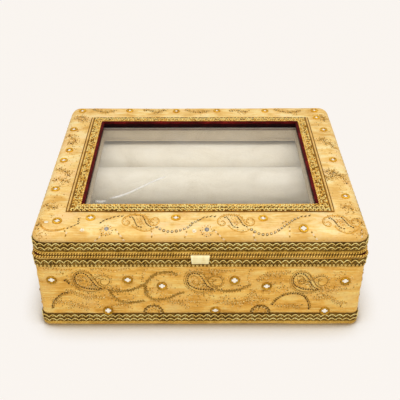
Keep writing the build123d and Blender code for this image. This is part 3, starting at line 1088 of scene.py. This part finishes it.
FRONT_RIGHT = [
    ("vine", path(187, 473, 255, 458, 333, 462, 400, 472, 444, 502, 487, 531, 520, 552)),
    ("gold", path(520, 552, 495, 610, 498, 681, 523, 752)),
    ("ring", path(584, 603, 637, 653, 690, 688, 745, 695, 810, 698, 876, 702, 921, 688)),
    ("ring", path(235, 302, 292, 294, 349, 302, 405, 309, 461, 324, 505, 361, 525, 413, 533, 494)),
    ("gold", path(546, 450, 572, 376, 630, 331, 698, 339, 742, 354)),
    ("dash", path(747, 279, 777, 331, 830, 388, 885, 417, 951, 427, 1020, 413, 1073, 375, 1107, 316, 1123,
     255, 1128, 194)),
    ("ring", path(782, 256, 838, 263, 884, 259, 935, 259, 987, 248, 1047, 210)),
    ("ring", path(1171, 360, 1227, 360, 1293, 375, 1351, 360, 1402, 308, 1459, 300, 1517, 292)),
    ("gold", path(1235, 508, 1283, 478, 1341, 456, 1408, 463, 1463, 471, 1528, 485)),
    ("gold", path(85, 738, 151, 724, 217, 717, 283, 710, 337, 724, 381, 717)),
    ("dash", path(-1362, 443, -1408, 429, -1451, 393, -1489, 349, -1524, 289, -1537, 222)),
]
FRONT_MIRRORS = path(
    -1499, 613, -731, 610, -388, 529, -957, 198, 346, 606, 674, 527, 1466, 591, 157, 196, 1295, 190,
)
FRONT_PAISLEYS = ((-112.8, 59.4), (0.9, 58.4), (107.6, 58.4))
FRONT_FLOWERS = ((-48.6, 17.0), (62.4, 16.6))
FACE_MIRRORS = ((39.7, 61.0), (74.0, 52.9), (17.1, 19.8))
FACE_FLOWER = (64.2, 17.0)
FACE_PERIOD = 111.6
WALL_MIRROR = 7.6
MIRROR_ROOM = 4
FLOWER_ROOM = 10
HALF_WIDTHS = {"front": 161.0, "back": 161.0, "left": 136.0, "right": 136.0}
RUN_SEQUINS = {"ring": (3.1, "gold_ring", "cream", 2.6), "vine": (2.8, "olive_ring", "gold", 2.5)}
RUN_ROWS = {
    "ring": ((2.2, "olive gold", 2.3, (1.2, 1.0, 0.8)), (-2.2, "gold olive olive", 2.7, (1.1, 0.9, 0.7))),
    "vine": ((1.8, "gold dark gold", 2.6, (1.2, 0.9, 0.8)), (-1.9, "gold gold olive", 2.9, (1.1, 0.9, 0.7))),
    "gold": ((0, "gold cream", 2.2, (1.4, 1.2, 0.9)), (1.6, "olive", 2.6, (1.1, 0.9, 0.7))),
    "dash": ((0, "dark olive", 2.6, (2.5, 1.8, 1.1)), (1.7, "olive", 2.6, (1.9, 1.3, 0.9))),
}


def run_on_face(panel, runs, start=0):
    """The runs of sequins and beads, as far as they lie on the face."""
    for kind, points in runs:
        run = [point for point in shifted(points, (start, 0)) if abs(point[0]) < HALF_WIDTHS[panel]]
        if len(run) > 2:
            if kind in RUN_SEQUINS:
                sequins(panel, run, *RUN_SEQUINS[kind])
            bead_rows(panel, run, *RUN_ROWS[kind])


for along, up in FRONT_MIRRORS:
    mirror("front", along, up, WALL_MIRROR, True)
for centre in FRONT_PAISLEYS:
    paisley("front", centre)
run_on_face("front", FACE_RUNS, FRONT_PAISLEYS[0][0])
for centre in FRONT_FLOWERS:
    half_flower("front", centre)
run_on_face("front", FRONT_RIGHT)
for panel, starts in (("back", (-112.8, -1.2, 110.4)), ("left", (-72.0, 39.6)), ("right", (-88.0, 23.6))):
    for start in starts:
        paisley(panel, (start, 58.6))
    for start in (starts[0] - FACE_PERIOD, *starts):
        run_on_face(panel, FACE_RUNS, start)
        for along, up in FACE_MIRRORS:
            if abs(start + along) < HALF_WIDTHS[panel] - MIRROR_ROOM:
                mirror(panel, start + along, up, WALL_MIRROR, True)
        if abs(start + FACE_FLOWER[0]) < HALF_WIDTHS[panel] - FLOWER_ROOM:
            half_flower(panel, (start + FACE_FLOWER[0], FACE_FLOWER[1]))
for panel, reach in HALF_WIDTHS.items():
    for index in range(round(reach * 0.6)):
        centre = (chance.uniform(-reach + 9, reach - 9), chance.uniform(25, 72))
        sprinkle(panel, centre, (11, 5), 16, "cream gold bright cream olive")

# Sewn work on the lid. The front strip has three slanting leaves, a chain of sequins that swings
# between them and drops over the rounded edge; mirrors stand along the other three strips.
STRIP = "lid_front"
TOP = "lid_top"
STRIP_MIRROR = 9.4
STRIP_MIRRORS = ((-141.1, 9.5), (-108.7, 14.7), (-24.2, 14.9), (62.3, 13.5), (100.5, -2.8))
TOP_MIRROR = 8.8
LEAF_CENTRES = ((-59.0, 6.0), (35.0, 5.0), (138.6, 3.6))
PEARLS = ((-114.7, -4.3), (-151.5, 7.7), (-5.8, -5.4))
STONES = ((-91.2, -2.8), (6.4, -3.6))
LEAF_LEFT = path(-106, 105, -77, 90, -58, 43, -43, -12, -24, -49, -2, -63, 30, -67)
LEAF_RIGHT = path(18, 118, 37, 71, 51, 25, 69, -21, 98, -49, 125, -67)
LEAF_TOP = path(-91, 122, -59, 132, -21, 133, 12, 124)
LEAF_GOLD = path(
    -138, 109, -103, 143, -28, 151, 38, 131, 69, 71, 89, 6, 113, -34, 145, -40, 175, -13, 184, 34, 171, 80,
    138, 93, 112, 71, 103, 34, 126, 6,
)
LEAF_UNDER = path(-78, -39, -43, -82, 0, -104, 53, -116, 106, -104, 141, -78)
LEAF_SPIRAL = path(
    -118, 128, -154, 109, -177, 62, -177, 7, -152, -34, -121, -34, -103, 6, -122, 43, -142, 34,
)
LEAF_INNER = path(-40, 90, -21, 53, -7, 6, 11, -21, 25, 6, 6, 52, -7, 90)
SEQUIN_CHAINS = [
    path(-423, -7, -374, -42, -300, -60, -227, -54, -185, -42, -137, -23, -101, 10, -75, 65, -43, 84, -11,
     121),
    path(498, -40, 540, -69, 587, -86, 640, -91, 688, -81, 731, -64, 793, -20, 859, 50, 932, 122, 1008,
     167),
]
DARK_CHAINS = [
    path(-980, 67, -943, 113, -898, 141, -857, 166, -815, 179, -746, 182),
    path(3, 118, 36, 156, 69, 161, 107, 171, 178, 161),
    path(-1292, -21, -1248, 3, -1225, 25, -1198, 58, -1206, 114, -1196, 161),
    path(1008, 167, 1047, 173, 1103, 186),
]
DROPS = [
    path(-1315, -53, -1297, -77, -1307, -101), path(-473, -59, -468, -87, -473, -118),
    path(-132, -65, -137, -97, -163, -129), path(-956, -97, -993, -126, -1031, -157),
    path(-821, -41, -777, -97, -731, -158), path(136, -46, 178, -91, 210, -123, 248, -158),
    path(518, -69, 518, -107, 535, -146), path(869, -5, 871, -47, 864, -83, 869, -124),
    path(1082, -70, 1108, -108, 1141, -147), path(811, 60, 836, 92, 850, 69),
    path(1570, -35, 1571, -82, 1565, -114),
]
CORNER_SCROLL = path(-1567, 41, -1541, -13, -1494, -47, -1441, -55, -1368, -47, -1317, -28)
TOP_MIRRORS = path(
    -1533, 738, -1509, 220, -1536, -14, -1526, -614, -1498, 1240, -894, 1246, -299, 1240, 218, 1246, 833,
    1240, 1463, 1246, 1462, 1044, 1504, 719, 1502, -4, 1511, -757,
)
TOP_SCROLLS = [
    path(-1547, 1020, -1523, 1071, -1493, 1091, -1446, 1050, -1429, 990, -1446, 950, -1490, 1000, -1525,
     990),
    path(-1575, 557, -1560, 594, -1528, 529, -1478, 483, -1477, 420, -1516, 393, -1570, 411),
    path(-1574, -211, -1556, -195, -1510, -234, -1463, -273, -1437, -335, -1411, -350),
    path(-1575, -441, -1521, -411, -1467, -448, -1398, -486),
    path(-1577, -895, -1563, -922, -1520, -949, -1472, -969, -1427, -976),
    path(1466, 1024, 1513, 1087, 1546, 1045, 1546, 919),
    path(1411, 445, 1456, 502, 1481, 370, 1523, 407, 1556, 278, 1570, 241),
    path(1409, -321, 1461, -256, 1504, -353, 1537, -353, 1560, -463, 1570, -510),
    path(1375, -272, 1422, -240, 1459, -272, 1435, -369, 1387, -408, 1360, -369, 1359, -321),
    path(1446, -976, 1500, -935, 1537, -990, 1578, -1004),
    path(-1364, 1290, -1276, 1233, -1175, 1206, -1064, 1263),
    path(-711, 1262, -633, 1262, -551, 1196, -476, 1262, -416, 1240),
    path(-182, 1284, -83, 1217, 34, 1204, 132, 1261),
    path(386, 1238, 485, 1260, 561, 1216, 642, 1260),
    path(957, 1281, 1068, 1215, 1184, 1202, 1289, 1259),
]
for along, up in STRIP_MIRRORS:
    mirror(STRIP, along, up, STRIP_MIRROR, False)
for centre in LEAF_CENTRES:
    for curve in (LEAF_LEFT, LEAF_RIGHT):
        string("dark", STRIP, shifted(curve, centre), 2.8, (2.4, 1.4, 1.0))
    sprinkle(STRIP, (centre[0] + 1, centre[1] + 3), (8, 7), 40, "bright gold cream")
    string("dark gold", STRIP, shifted(LEAF_TOP, centre), 2.2, (1.4, 0.9, 0.8))
    for curve in (LEAF_GOLD, LEAF_UNDER, LEAF_SPIRAL):
        couch("gold", STRIP, shifted(curve, centre), 0.2)
        bead_rows(STRIP, shifted(curve, centre), (0, "bright gold", 1.7, (1.5, 1.3, 1.1), 0.3),
                  (1.5, "olive cream", 2.6, (1.2, 1.0, 0.8)))
    couch("gold", STRIP, shifted(LEAF_INNER, centre), 0.3)
    string("gold pale", STRIP, shifted(LEAF_INNER, centre), 1.5, SMALL_BEAD)
for chain in SEQUIN_CHAINS:
    sequins(STRIP, chain, 4.1, "olive_ring", "pale", 2.7)
    bead_rows(STRIP, chain, (-0.9, "dark", 4.1, (1.1, 0.8, 0.7)))
for chain in DARK_CHAINS:
    string("dark", STRIP, chain, 4.0, (2.4, 1.5, 1.0))
    string("olive", STRIP, shifted(chain, (1.2, 1.5)), 4.0, (1.6, 0.9, 0.8))
for drop in DROPS:
    string("olive pale_ring", STRIP, drop, 2.6, (2.2, 1.6, 1.0))
for side in (-1, 1):
    sprinkle(STRIP, (side * 158, 5), (5, 11), 30, "olive gold dark")
    sprinkle(STRIP, (side * 155, -9), (8, 7), 34)
couch("gold", STRIP, CORNER_SCROLL, 0.3)
couch("gold", STRIP, shifted(CORNER_SCROLL, (0.4, 1.2)), 0.3)
for spot in PEARLS:
    sew("pale_ring", STRIP, *spot, (4.0, 3.6, 1.8))
    sew("pale", STRIP, *spot, (2.4, 2.2, 1.4))
for spot in STONES:
    sew("stone", STRIP, *spot, (5.6, 5.6, 2.4), lift=0.3)
    string("gold pale", STRIP, arc_points(spot, 4.4, 0, 340, 16, 1.15), 1.6, (1.3, 1.2, 1.0))
    string("dark gold", STRIP, arc_points(spot, 6.2, 190, 350, 9, 1.15), 2.2, (1.3, 1.1, 0.9))
for along, up in TOP_MIRRORS:
    mirror(TOP, along, up, TOP_MIRROR, False)
for scroll in TOP_SCROLLS:
    bead_rows(TOP, scroll, (0, "olive dark olive", 3.0, (2.6, 1.7, 1.0)),
              (2.2, "olive cream gold", 2.1, (1.7, 1.4, 0.9)),
              (-2.2, "gold olive cream", 2.3, (1.6, 1.3, 0.9)), (4.6, "cream olive", 3.1, (1.5, 1.2, 0.8)))
    sprinkle(TOP, scroll[len(scroll) // 2], (9, 9), 34, "olive cream gold olive")
for side in (-1, 1):
    for index in range(14):
        sprinkle(TOP, (side * 149, -108 + 17.5 * index), (13, 11), 12, "cream olive gold")


def grained(name, clouds, stops, tone=(1,), relief=(1,), depth=None, rough=None, **constants):
    """A finish of one or two clouds, each with its share in the colour and in the relief."""
    finish = Finish(name, **constants)
    clouds = [finish.noise(*settings) for settings in clouds]

    def mixed(shares):
        return sum(cloud * share for cloud, share in zip(clouds, shares))

    finish.surface(Base_Color=finish.ramp(mixed(tone), *stops))
    if depth:
        finish.surface(Normal=finish.bump(mixed(relief), *depth))
    if rough:
        finish.surface(Roughness=rough[0] + rough[1] * clouds[-1])
    return finish.material


pearl = grained("pearl_sequin", [(1, 700.0, 2.0, 0.5)], [(0.35, "ecd4a4"), (0.62, "fff6dc")],
               Roughness=0.25, Specular_IOR_Level=0.6, Coat_Weight=0.4)
stone_glass = grained("grey_stone", [(1, 220.0, 2.0, 0.5)], [(0.35, "3a342e"), (0.62, "969086")],
                     rough=(0.12, 0.1), Specular_IOR_Level=0.8, Coat_Weight=0.6)
glass = Finish("mirror_glass", Metallic=1.0, Base_Color="fffaea")
flaw = glass.noise(1, 260.0, 2.0, 0.5)
glass.surface(Normal=glass.bump(flaw, 0.25, 0.5), Roughness=0.05 + 0.12 * flaw)
bead = {kind: thread(kind + "_bead", *look, 1500.0) for kind, *look in (
    ("gold", "f0c05c", "b8862e", 0.3, 0.35), ("dark", "684616", "2e1a02", 0.35, 0.2),
    ("olive", "aa8434", "705218", 0.4, 0.25), ("khaki", "cc9e42", "8c6620", 0.4, 0.25),
    ("cream", "ffe8a4", "deb86c", 0.3, 0.1), ("bright", "fac854", "ce942c", 0.3, 0.4),
)}
ring_wrap = thread("mirror_ring_wrap", "d6a22c", "865e10", 0.38, 0.4)
ring_gold = thread("fine_ring_wrap", "f8c238", "b47e14", 0.35, 0.2)
couched = threads_by_kind(
    "couched_", ("gold", "f4be4c", "c08826", 0.4, 0.3), ("olive", "c09646", "886424", 0.4, 0.35)
)


def ring(segments, sides, major, minor):
    return template(bpy.ops.mesh.primitive_torus_add, major_segments=segments, minor_segments=sides,
                    major_radius=major, minor_radius=minor)


disc = template(bpy.ops.mesh.primitive_cylinder_add, vertices=12, radius=0.46, depth=0.06)
cut_stone = template(bpy.ops.mesh.primitive_cone_add, vertices=6, radius1=0.5, radius2=0.28, depth=0.5)
sequin = ring(8, 4, 0.42, 0.13)
BEAD_FORMS = {
    "wrap": (GRAIN, ring_wrap),
    "gold_ring": (sequin, bead["gold"]),
    "olive_ring": (sequin, bead["olive"]),
    "pale": (GRAIN, pearl),
    "pale_ring": (sequin, pearl),
    "mirror": (disc, glass.material),
    "mirror_ring": (ring(16, 6, 0.55, 0.16), ring_wrap),
    "fine_ring": (ring(20, 8, 0.41, 0.12), ring_gold),
    "stone": (cut_stone, stone_glass),
}
for (body, kind), spots in sewn.items():
    colour = "khaki" if (body, kind) == ("lid", "olive") else kind
    shape, material = BEAD_FORMS.get(kind) or (GRAIN, bead[colour])
    dress(copies(f"{body}_sewn_{kind}", shape, spots), material, body)
for (body, kind), lines in threads.items():
    piece = tubes(f"{body}_couched_{kind}", lines, {"gold": 0.36, "olive": 0.42}[kind])
    dress(piece, couched[kind], body, "gold_cord")

# Velvet edging of the window. A soft roll of maroon velvet lines the cut edge of the opening,
# over a thin core, and hides the edge of the clear sheet.
EDGING_BULGE = 1.4
PIPING_HEIGHT = 118.95
PIPING_END_DROP = 1.6
PIPING_RADIUS = 1.95
LINING_EDGE = 1.2


def dark_velvet(name, pale, middle, deep, sheen, sheen_tint):
    """Maroon velvet: short pile, crushed in soft patches."""
    return grained(name, [(900, 1.0, 2.0, 0.6), (1, 60.0, 2.0, 0.6)],
                  [(0.36, deep), (0.52, middle), (0.66, pale)], (0.5, 0.5), (0.6, 1), (0.5, 0.5),
                  Roughness=0.9, Specular_IOR_Level=0.15, Sheen_Weight=sheen, Sheen_Roughness=0.3,
                  Sheen_Tint=sheen_tint)


# One maroon velvet in three copies: its own colour for the bindings, a near-black copy of painted shade for
# the edging below the piping, and a brighter copy of painted light for the piping.
maroon = dark_velvet("maroon_velvet", "70101a", "42040a", "220004", 0.1, "be3c46")
maroon_painted_shade = dark_velvet("maroon_velvet_painted_shade", "3a0408", "1e0002", "0e0000", 0.0, "782832")
maroon_painted_light = dark_velvet("maroon_velvet_piping_painted_light", "881e18", "560606", "2e0000", 0.12, "dc6e5a")

edging_low, edging_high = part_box("window_velvet_edging")
edging = block("window_velvet_roll", edging_low, edging_high)
cut_away(edging, flat_face)
divide(edging, 5)
for vert in edging.data.vertices:
    share = (vert.co.z - edging_low.z) / (edging_high.z - edging_low.z)
    bulge = (LINING_EDGE + EDGING_BULGE * sin(pi * min(1, max(0, share)))) * MM
    for axis in (0, 1):
        if abs(abs(vert.co[axis]) - edging_high[axis]) < 1e-5:
            vert.co[axis] -= copysign(bulge, vert.co[axis])
rippled(edging, "velvet_crush", 0.02, 0.5)
dress(thicken(edging, 1.0, 1, 60), maroon_painted_shade, "lid", "maroon_velvet", "window_velvet_edging")
side_x = edging_high.x / MM - 1.0
side_y = edging_high.y / MM - 1.0
piping_line = [(-side_x, -side_y, PIPING_HEIGHT - PIPING_END_DROP)]
for start, run, steps in (
    ((-side_x, -side_y), (0, 2 * side_y), 48),
    ((-side_x, side_y), (2 * side_x, 0), 64),
    ((side_x, side_y), (0, -2 * side_y), 48),
):
    for step in range(1, steps + 1):
        piping_line.append((*(start[k] + run[k] * step / steps for k in (0, 1)), PIPING_HEIGHT))
piping_line[-1] = (side_x, -side_y, PIPING_HEIGHT - PIPING_END_DROP)
piping = tubes("window_velvet_piping", [piping_line], PIPING_RADIUS, roundness=3)
rippled(piping, "piping_crush", 0.01, 0.5)
dress(piping, maroon_painted_light, "lid", "maroon_velvet")

# Clear sheet. A thin plastic film, cut by hand and laid under the velvet roll, so it is a little wavy, milky
# with age and scratched; a brown strip under its edge paints the dark band of shade there.
CREASE_LEFT = 0.0667
CREASE_NEAR = 0.0492
CREASE_SLOPE = 0.943
CREASE_BEND = 4.21
CREASE_CURL = 237.0
CREASE_HALF_LENGTH = 0.031
CREASE_HALF_WIDTH = 0.0026
WISP_LEFT = 0.1042
WISP_NEAR = 0.0742
WISP_SLOPE = 0.25
WISP_HALF_LENGTH = 0.0068
WISP_HALF_WIDTH = 0.003
film = Finish("clear_film", Specular_IOR_Level=0.5, Base_Color="f4f2ec")
haze = film.level(film.noise(1, 9.0, 3.0, 0.6), 0.4, 0.7)
# Painted reflection: the white film turns more opaque at a glancing view.
edge_on_painted_reflection = film.node("LayerWeight", {"Blend": 0.5}, "Facing")
film_x = film.node("SeparateXYZ", {0: film.place()}, "X")
film_y = film.node("SeparateXYZ", {0: film.place()}, "Y")
# The two creases are real folds in the film, drawn as whiter lines with a painted glint along them.
# Places are in metres to the left and to the near side of the box's middle.
along_fold = film_x + CREASE_LEFT
crease_rise = along_fold * (CREASE_SLOPE + along_fold * (CREASE_BEND - CREASE_CURL * along_fold))
crease = film.level(abs(film_y + CREASE_NEAR - crease_rise), CREASE_HALF_WIDTH, 0.0005)
crease = crease * film.level(abs(along_fold), CREASE_HALF_LENGTH, 0.021)
crease = crease * film.level(film.noise(1, 160.0, 3.0, 0.7), 0.25, 0.55)
wisp_run = abs(film_x + WISP_LEFT)
wisp = film.level(abs(film_y + WISP_NEAR - WISP_SLOPE * wisp_run), WISP_HALF_WIDTH, 0.0008)
wisp = wisp * film.level(wisp_run, WISP_HALF_LENGTH, 0.003)
film.surface(
    Alpha=0.03 + 0.06 * haze + 0.6 * edge_on_painted_reflection ** 4 + 0.55 * crease + 0.3 * wisp,
    Roughness=0.05 + 0.1 * haze,
    Normal=film.bump(film.noise(1, 16.0, 2.0, 0.5, 0.6), 1.2, 0.6),
)
pane = block("window_film", *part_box("window_pane"))
cut_away(pane, lambda face: face.normal.z < FACES_ONE_WAY)
divide(pane, 6)
rippled(pane, "film_wave", 0.05, 0.8, "Z")
dress(thicken(pane, 0.5), film.material, "lid", "clear_sheet", "window_pane")

# Painted shade: a thin brown strip under the film's edge, below the velvet roll, darkens the band there.
SHADE_STRIP_OUT = 0.35
SHADE_STRIP_LOW = 108.4
SHADE_STRIP_HIGH = 110.9
shade_strip_brown = grained("brown_painted_shade_strip", [((200, 200, 900), 1.0, 3.0, 0.6)],
                    [(0.35, "60422a"), (0.65, "88684a")], depth=(0.2, 0.4), Roughness=0.7,
                    Specular_IOR_Level=0.3)
shade_strip_x = edging_high.x / MM - LINING_EDGE - SHADE_STRIP_OUT
shade_strip_y = edging_high.y / MM - LINING_EDGE - SHADE_STRIP_OUT
shade_strip = block("film_edge_painted_shade", (-shade_strip_x * MM, -shade_strip_y * MM, SHADE_STRIP_LOW * MM),
             (shade_strip_x * MM, shade_strip_y * MM, SHADE_STRIP_HIGH * MM))
walls(shade_strip, 0, 40, 3)
rippled(shade_strip, "shade_strip_ripple", 0.02, 0.2)
dress(thicken(shade_strip, 0.25, 1), shade_strip_brown, "lid")


def velvet(name, pale, middle, deep, sheen_tint, painted_side_shade=None):
    """Short pile with brushed marks: paler where it lies over, darker where it stands."""
    finish = Finish(name, Roughness=0.92, Specular_IOR_Level=0.12, Sheen_Weight=1.0,
                    Sheen_Roughness=0.45, Sheen_Tint=sheen_tint)
    fine = finish.noise(1100, 1.0, 2.0, 0.6)
    brushed = finish.noise((26, 44, 26), 1.0, 4.0, 0.65, 0.8)
    colour = finish.ramp(fine * 0.5 + brushed * 0.5, (0.34, deep), (0.5, middle), (0.66, pale))
    # Painted shade: where asked, faces turned along X are mixed towards a darker colour.
    if painted_side_shade:
        sideways = finish.level(finish.facing("X"), 0.4, 0.9)
        colour = finish.tint(sideways * 0.8, colour, painted_side_shade)
    height = fine * 0.5 + brushed * 0.8
    return finish.surface(Base_Color=colour, Normal=finish.bump(height, 0.5, 0.4))


def soft_copy(name, node, material, body, slot, width=0.35, ripple=0.35):
    """A cloth-covered form cut like its CAD node, with rounded edges and a slight unevenness."""
    piece = linked(name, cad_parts[node].data.copy())
    on_all(piece, (bpy.ops.mesh.remove_doubles, {"threshold": 1e-5}),
           (bpy.ops.mesh.dissolve_limited, {"angle_limit": radians(2)}))
    modify(piece, "BEVEL", width=width * MM, segments=2, limit_method="ANGLE")
    modify(piece, "TRIANGULATE")
    divide(piece, 2)
    rippled(piece, name + "_ripple", 0.02, ripple)
    return dress(smooth(piece), material, body, slot, node)


white_velvet = velvet("white_velvet", "fef8e8", "f8f0dd", "e8dec8", "fffaec")
# The lid's well lining is darker and browner, with painted shade on its left and right walls.
well_velvet = velvet("well_velvet", "d6c5a4", "cab898", "b2a080", "ecdcbe", "968060")
for node, *cut in (
    ("floor_lining", (0.318, 0.268), None, "base_floor_board"),
    ("wall_lining", (1.174, 0.083), None, "base_front_board"),
    ("compartment_divider",),
    ("roll_cradle_left",),
    ("roll_cradle_right",),
    ("lid_well_lining", (0.858, 0.016), None, "lid_front_well_board"),
    ("lid_underside_panel", (0.314, 0.264), 0.0377, "lid_front_board"),
):
    in_lid = node.startswith("lid")
    body, cloth = ("lid", well_velvet) if in_lid else ("base", white_velvet)
    lining = soft_copy(node + "_velvet", node, cloth, body, "white_velvet")
    if cut:
        flat, area, under = cut
for body in ("base", "lid"):
    node = body + "_rim_velvet"
    binding = soft_copy(node + "_binding", node, maroon, body, "maroon_velvet", 0.3, 0.2)
cotton = grained("backing_cotton", [((1400, 120, 100), 1.0, 2.0, 0.5), ((120, 1400, 100), 1.0, 2.0, 0.5)],
                [(0.35, "a8926c"), (0.65, "d6c29c")], (0.5, 0.5), (0.5, 0.5), (0.3, 0.5),
                Roughness=0.9, Specular_IOR_Level=0.2)
underside = soft_copy("underside_cotton", "base_underside_cloth", cotton, "base", "backing_cloth", 0.25,
                      0.15)

# Bangle rolls. Each is a foam roll in a sleeve of off-white velvet, its seam underneath and its
# ends drawn in over a card disc; a wooden dowel through it rests in the cradles.
ROLL_RADIUS = 25.0
ROLL_HALF = 150.3
ROLL_HEIGHT = 61.4
END_ROOM = 2.4


def along_x(edge):
    start, end = ends(edge)
    return abs(start.x - end.x) > 0.1


def crease_depth(along, angle, seed):
    """How far the sleeve stands in or out: shallow lengthwise creases, deeper at the ends."""
    toward_end = abs(along) / ROLL_HALF
    soft = sin(3 * angle + seed + 2.0 * sin(along / 37 + seed))
    creases = sin(11 * angle + 1.7 * sin(along / 21 + seed) + along / 60)
    gathers = sin(29 * angle + seed) * max(0, toward_end - 0.93) / 0.07
    return -0.35 + 0.16 * soft + 0.12 * creases * (0.4 + toward_end) + 0.35 * gathers


for body, roll_y, seed in (("roll_front", 33.0, 0.4), ("roll_back", 99.0, 2.1)):
    sleeve = placed(
        body + "_sleeve", bpy.ops.mesh.primitive_cylinder_add, vertices=96, radius=ROLL_RADIUS * MM,
        depth=2 * (ROLL_HALF - END_ROOM) * MM, location=(0, roll_y * MM, ROLL_HEIGHT * MM),
        rotation=(0, pi / 2, 0), end_fill_type="NOTHING",
    )
    subdivide(sleeve, along_x, 64)
    for vert in sleeve.data.vertices:
        radial = Vector((0, vert.co.y - roll_y * MM, vert.co.z - ROLL_HEIGHT * MM))
        angle = atan2(radial.z, radial.y)
        vert.co += radial.normalized() * crease_depth(vert.co.x / MM, angle, seed) * MM
    dress(thicken(sleeve, 1.0, degrees=60), white_velvet, body, "white_velvet", body + "_velvet_sleeve")
    soft_copy(body + "_end_caps", body + "_end_discs", white_velvet, body, "white_velvet", 0.5)

# Pull tab. A folded length of cream satin ribbon, its two ends glued under the lid's rim, lifts
# the lid. The path gives its folded profile as y and z in millimetres.
TAB_HALF_TOP = 9.5
TAB_HALF_BOTTOM = 8.2
TAB_TOP = 92.7
TAB_DROP = 11.0
TAB_PATH = [
    (-134.6, 92.75), (-138.0, 92.75), (-140.6, 92.7), (-142.2, 92.3), (-142.9, 91.2), (-143.2, 88.6),
    (-143.2, 86.4), (-143.15, 84.3), (-142.95, 83.45), (-142.65, 83.3), (-142.4, 83.6), (-142.3, 84.6),
    (-142.15, 86.9), (-142.1, 89.0), (-141.9, 91.2), (-141.0, 92.15), (-138.0, 92.3), (-134.6, 92.3),
]
# The second cloud paints the satin's lustre into its colour: painted sheen.
satin = grained("cream_satin", [((30, 30, 2600), 1.0, 2.0, 0.5), ((220, 60, 60), 1.0, 2.0, 0.5)],
               [(0.36, "ecd696"), (0.5, "fff1b8"), (0.64, "ffface")], (0.5, 0.5), (1, 0), (0.3, 0.5),
               Roughness=0.38, Specular_IOR_Level=0.5, Sheen_Weight=0.2)
tab = placed("ribbon_tab", bpy.ops.mesh.primitive_plane_add, size=1)
for axis, parts in ((0, len(TAB_PATH) - 1), (1, 8)):
    subdivide(tab, lambda edge: abs(ends(edge)[0][axis] - ends(edge)[1][axis]) < 1e-4, parts)
for vert in tab.data.vertices:
    y, z = TAB_PATH[round((vert.co.y + 0.5) * (len(TAB_PATH) - 1))]
    hang = min(1, max(0, (TAB_TOP - z) / TAB_DROP))
    half = TAB_HALF_TOP + (TAB_HALF_BOTTOM - TAB_HALF_TOP) * hang
    curl = 0.12 * cos(vert.co.x * 2 * pi) * hang
    vert.co = (vert.co.x * 2 * half * MM, (y + curl) * MM, z * MM)
modify(tab, "SOLIDIFY", thickness=0.35 * MM, offset=0)
divide(tab, 1, "CATMULL_CLARK")
dress(smooth(tab, 60), satin, "lid", "ribbon", "pull_tab")

# Hinges. Two small brass butt hinges, each of two leaves on a pin, are let into the back of the
# joint and held by screws. Their brass is worn and a little uneven in colour.
brass = grained("worn_brass", [((900, 60, 900), 1.0, 3.0, 0.6), (1, 160.0, 3.0, 0.6)],
               [(0.34, "92682e"), (0.5, "cea454"), (0.66, "e8c478")], (0.4, 0.6), (1, 0), (0.15, 0.4),
               (0.28, 0.3), Metallic=1.0)

# Boards and cores. Grey board, wadding, foam and dowels are closed in by cloth; only cut edges
# of them could ever show.
grey_board = grained("grey_board", [(1, 400.0, 4.0, 0.7)], [(0.35, "80705c"), (0.65, "b0a088")],
                    depth=(0.3, 0.4), Roughness=0.9, Specular_IOR_Level=0.2)
beech = grained("beech_dowel", [((12, 500, 500), 1.0, 4.0, 0.6)], [(0.35, "ba8e5c"), (0.65, "e2be8c")],
               depth=(0.2, 0.4), Roughness=0.6, Specular_IOR_Level=0.3)
wadding = grained("white_wadding", [(1, 300.0, 5.0, 0.7)], [(0.35, "dcd8cc"), (0.65, "f8f6ee")],
                 depth=(0.6, 0.6), Roughness=0.95, Specular_IOR_Level=0.1)
# A node takes the finish of the first of these words that its name holds.
NODE_FINISHES = {
    "hinge": brass, "dowel": beech, "padding": wadding, "foam": wadding, "board": grey_board,
    "rail": grey_board, "lid_silk": lid_silk, "silk": base_silk, "rim_velvet": maroon,
    "edging": maroon, "braid": braid["gold_gimp"], "cord": braid["gold_gimp"],
    "lace": braid["gold_gimp"], "underside_cloth": cotton, "window_pane": film.material, "tab": satin,
    "": white_velvet,
}
for name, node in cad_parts.items():
    word = next(word for word in NODE_FINISHES if word in name)
    node.data.materials.clear()
    node.data.materials.append(NODE_FINISHES[word])

bpy.context.view_layer.update()
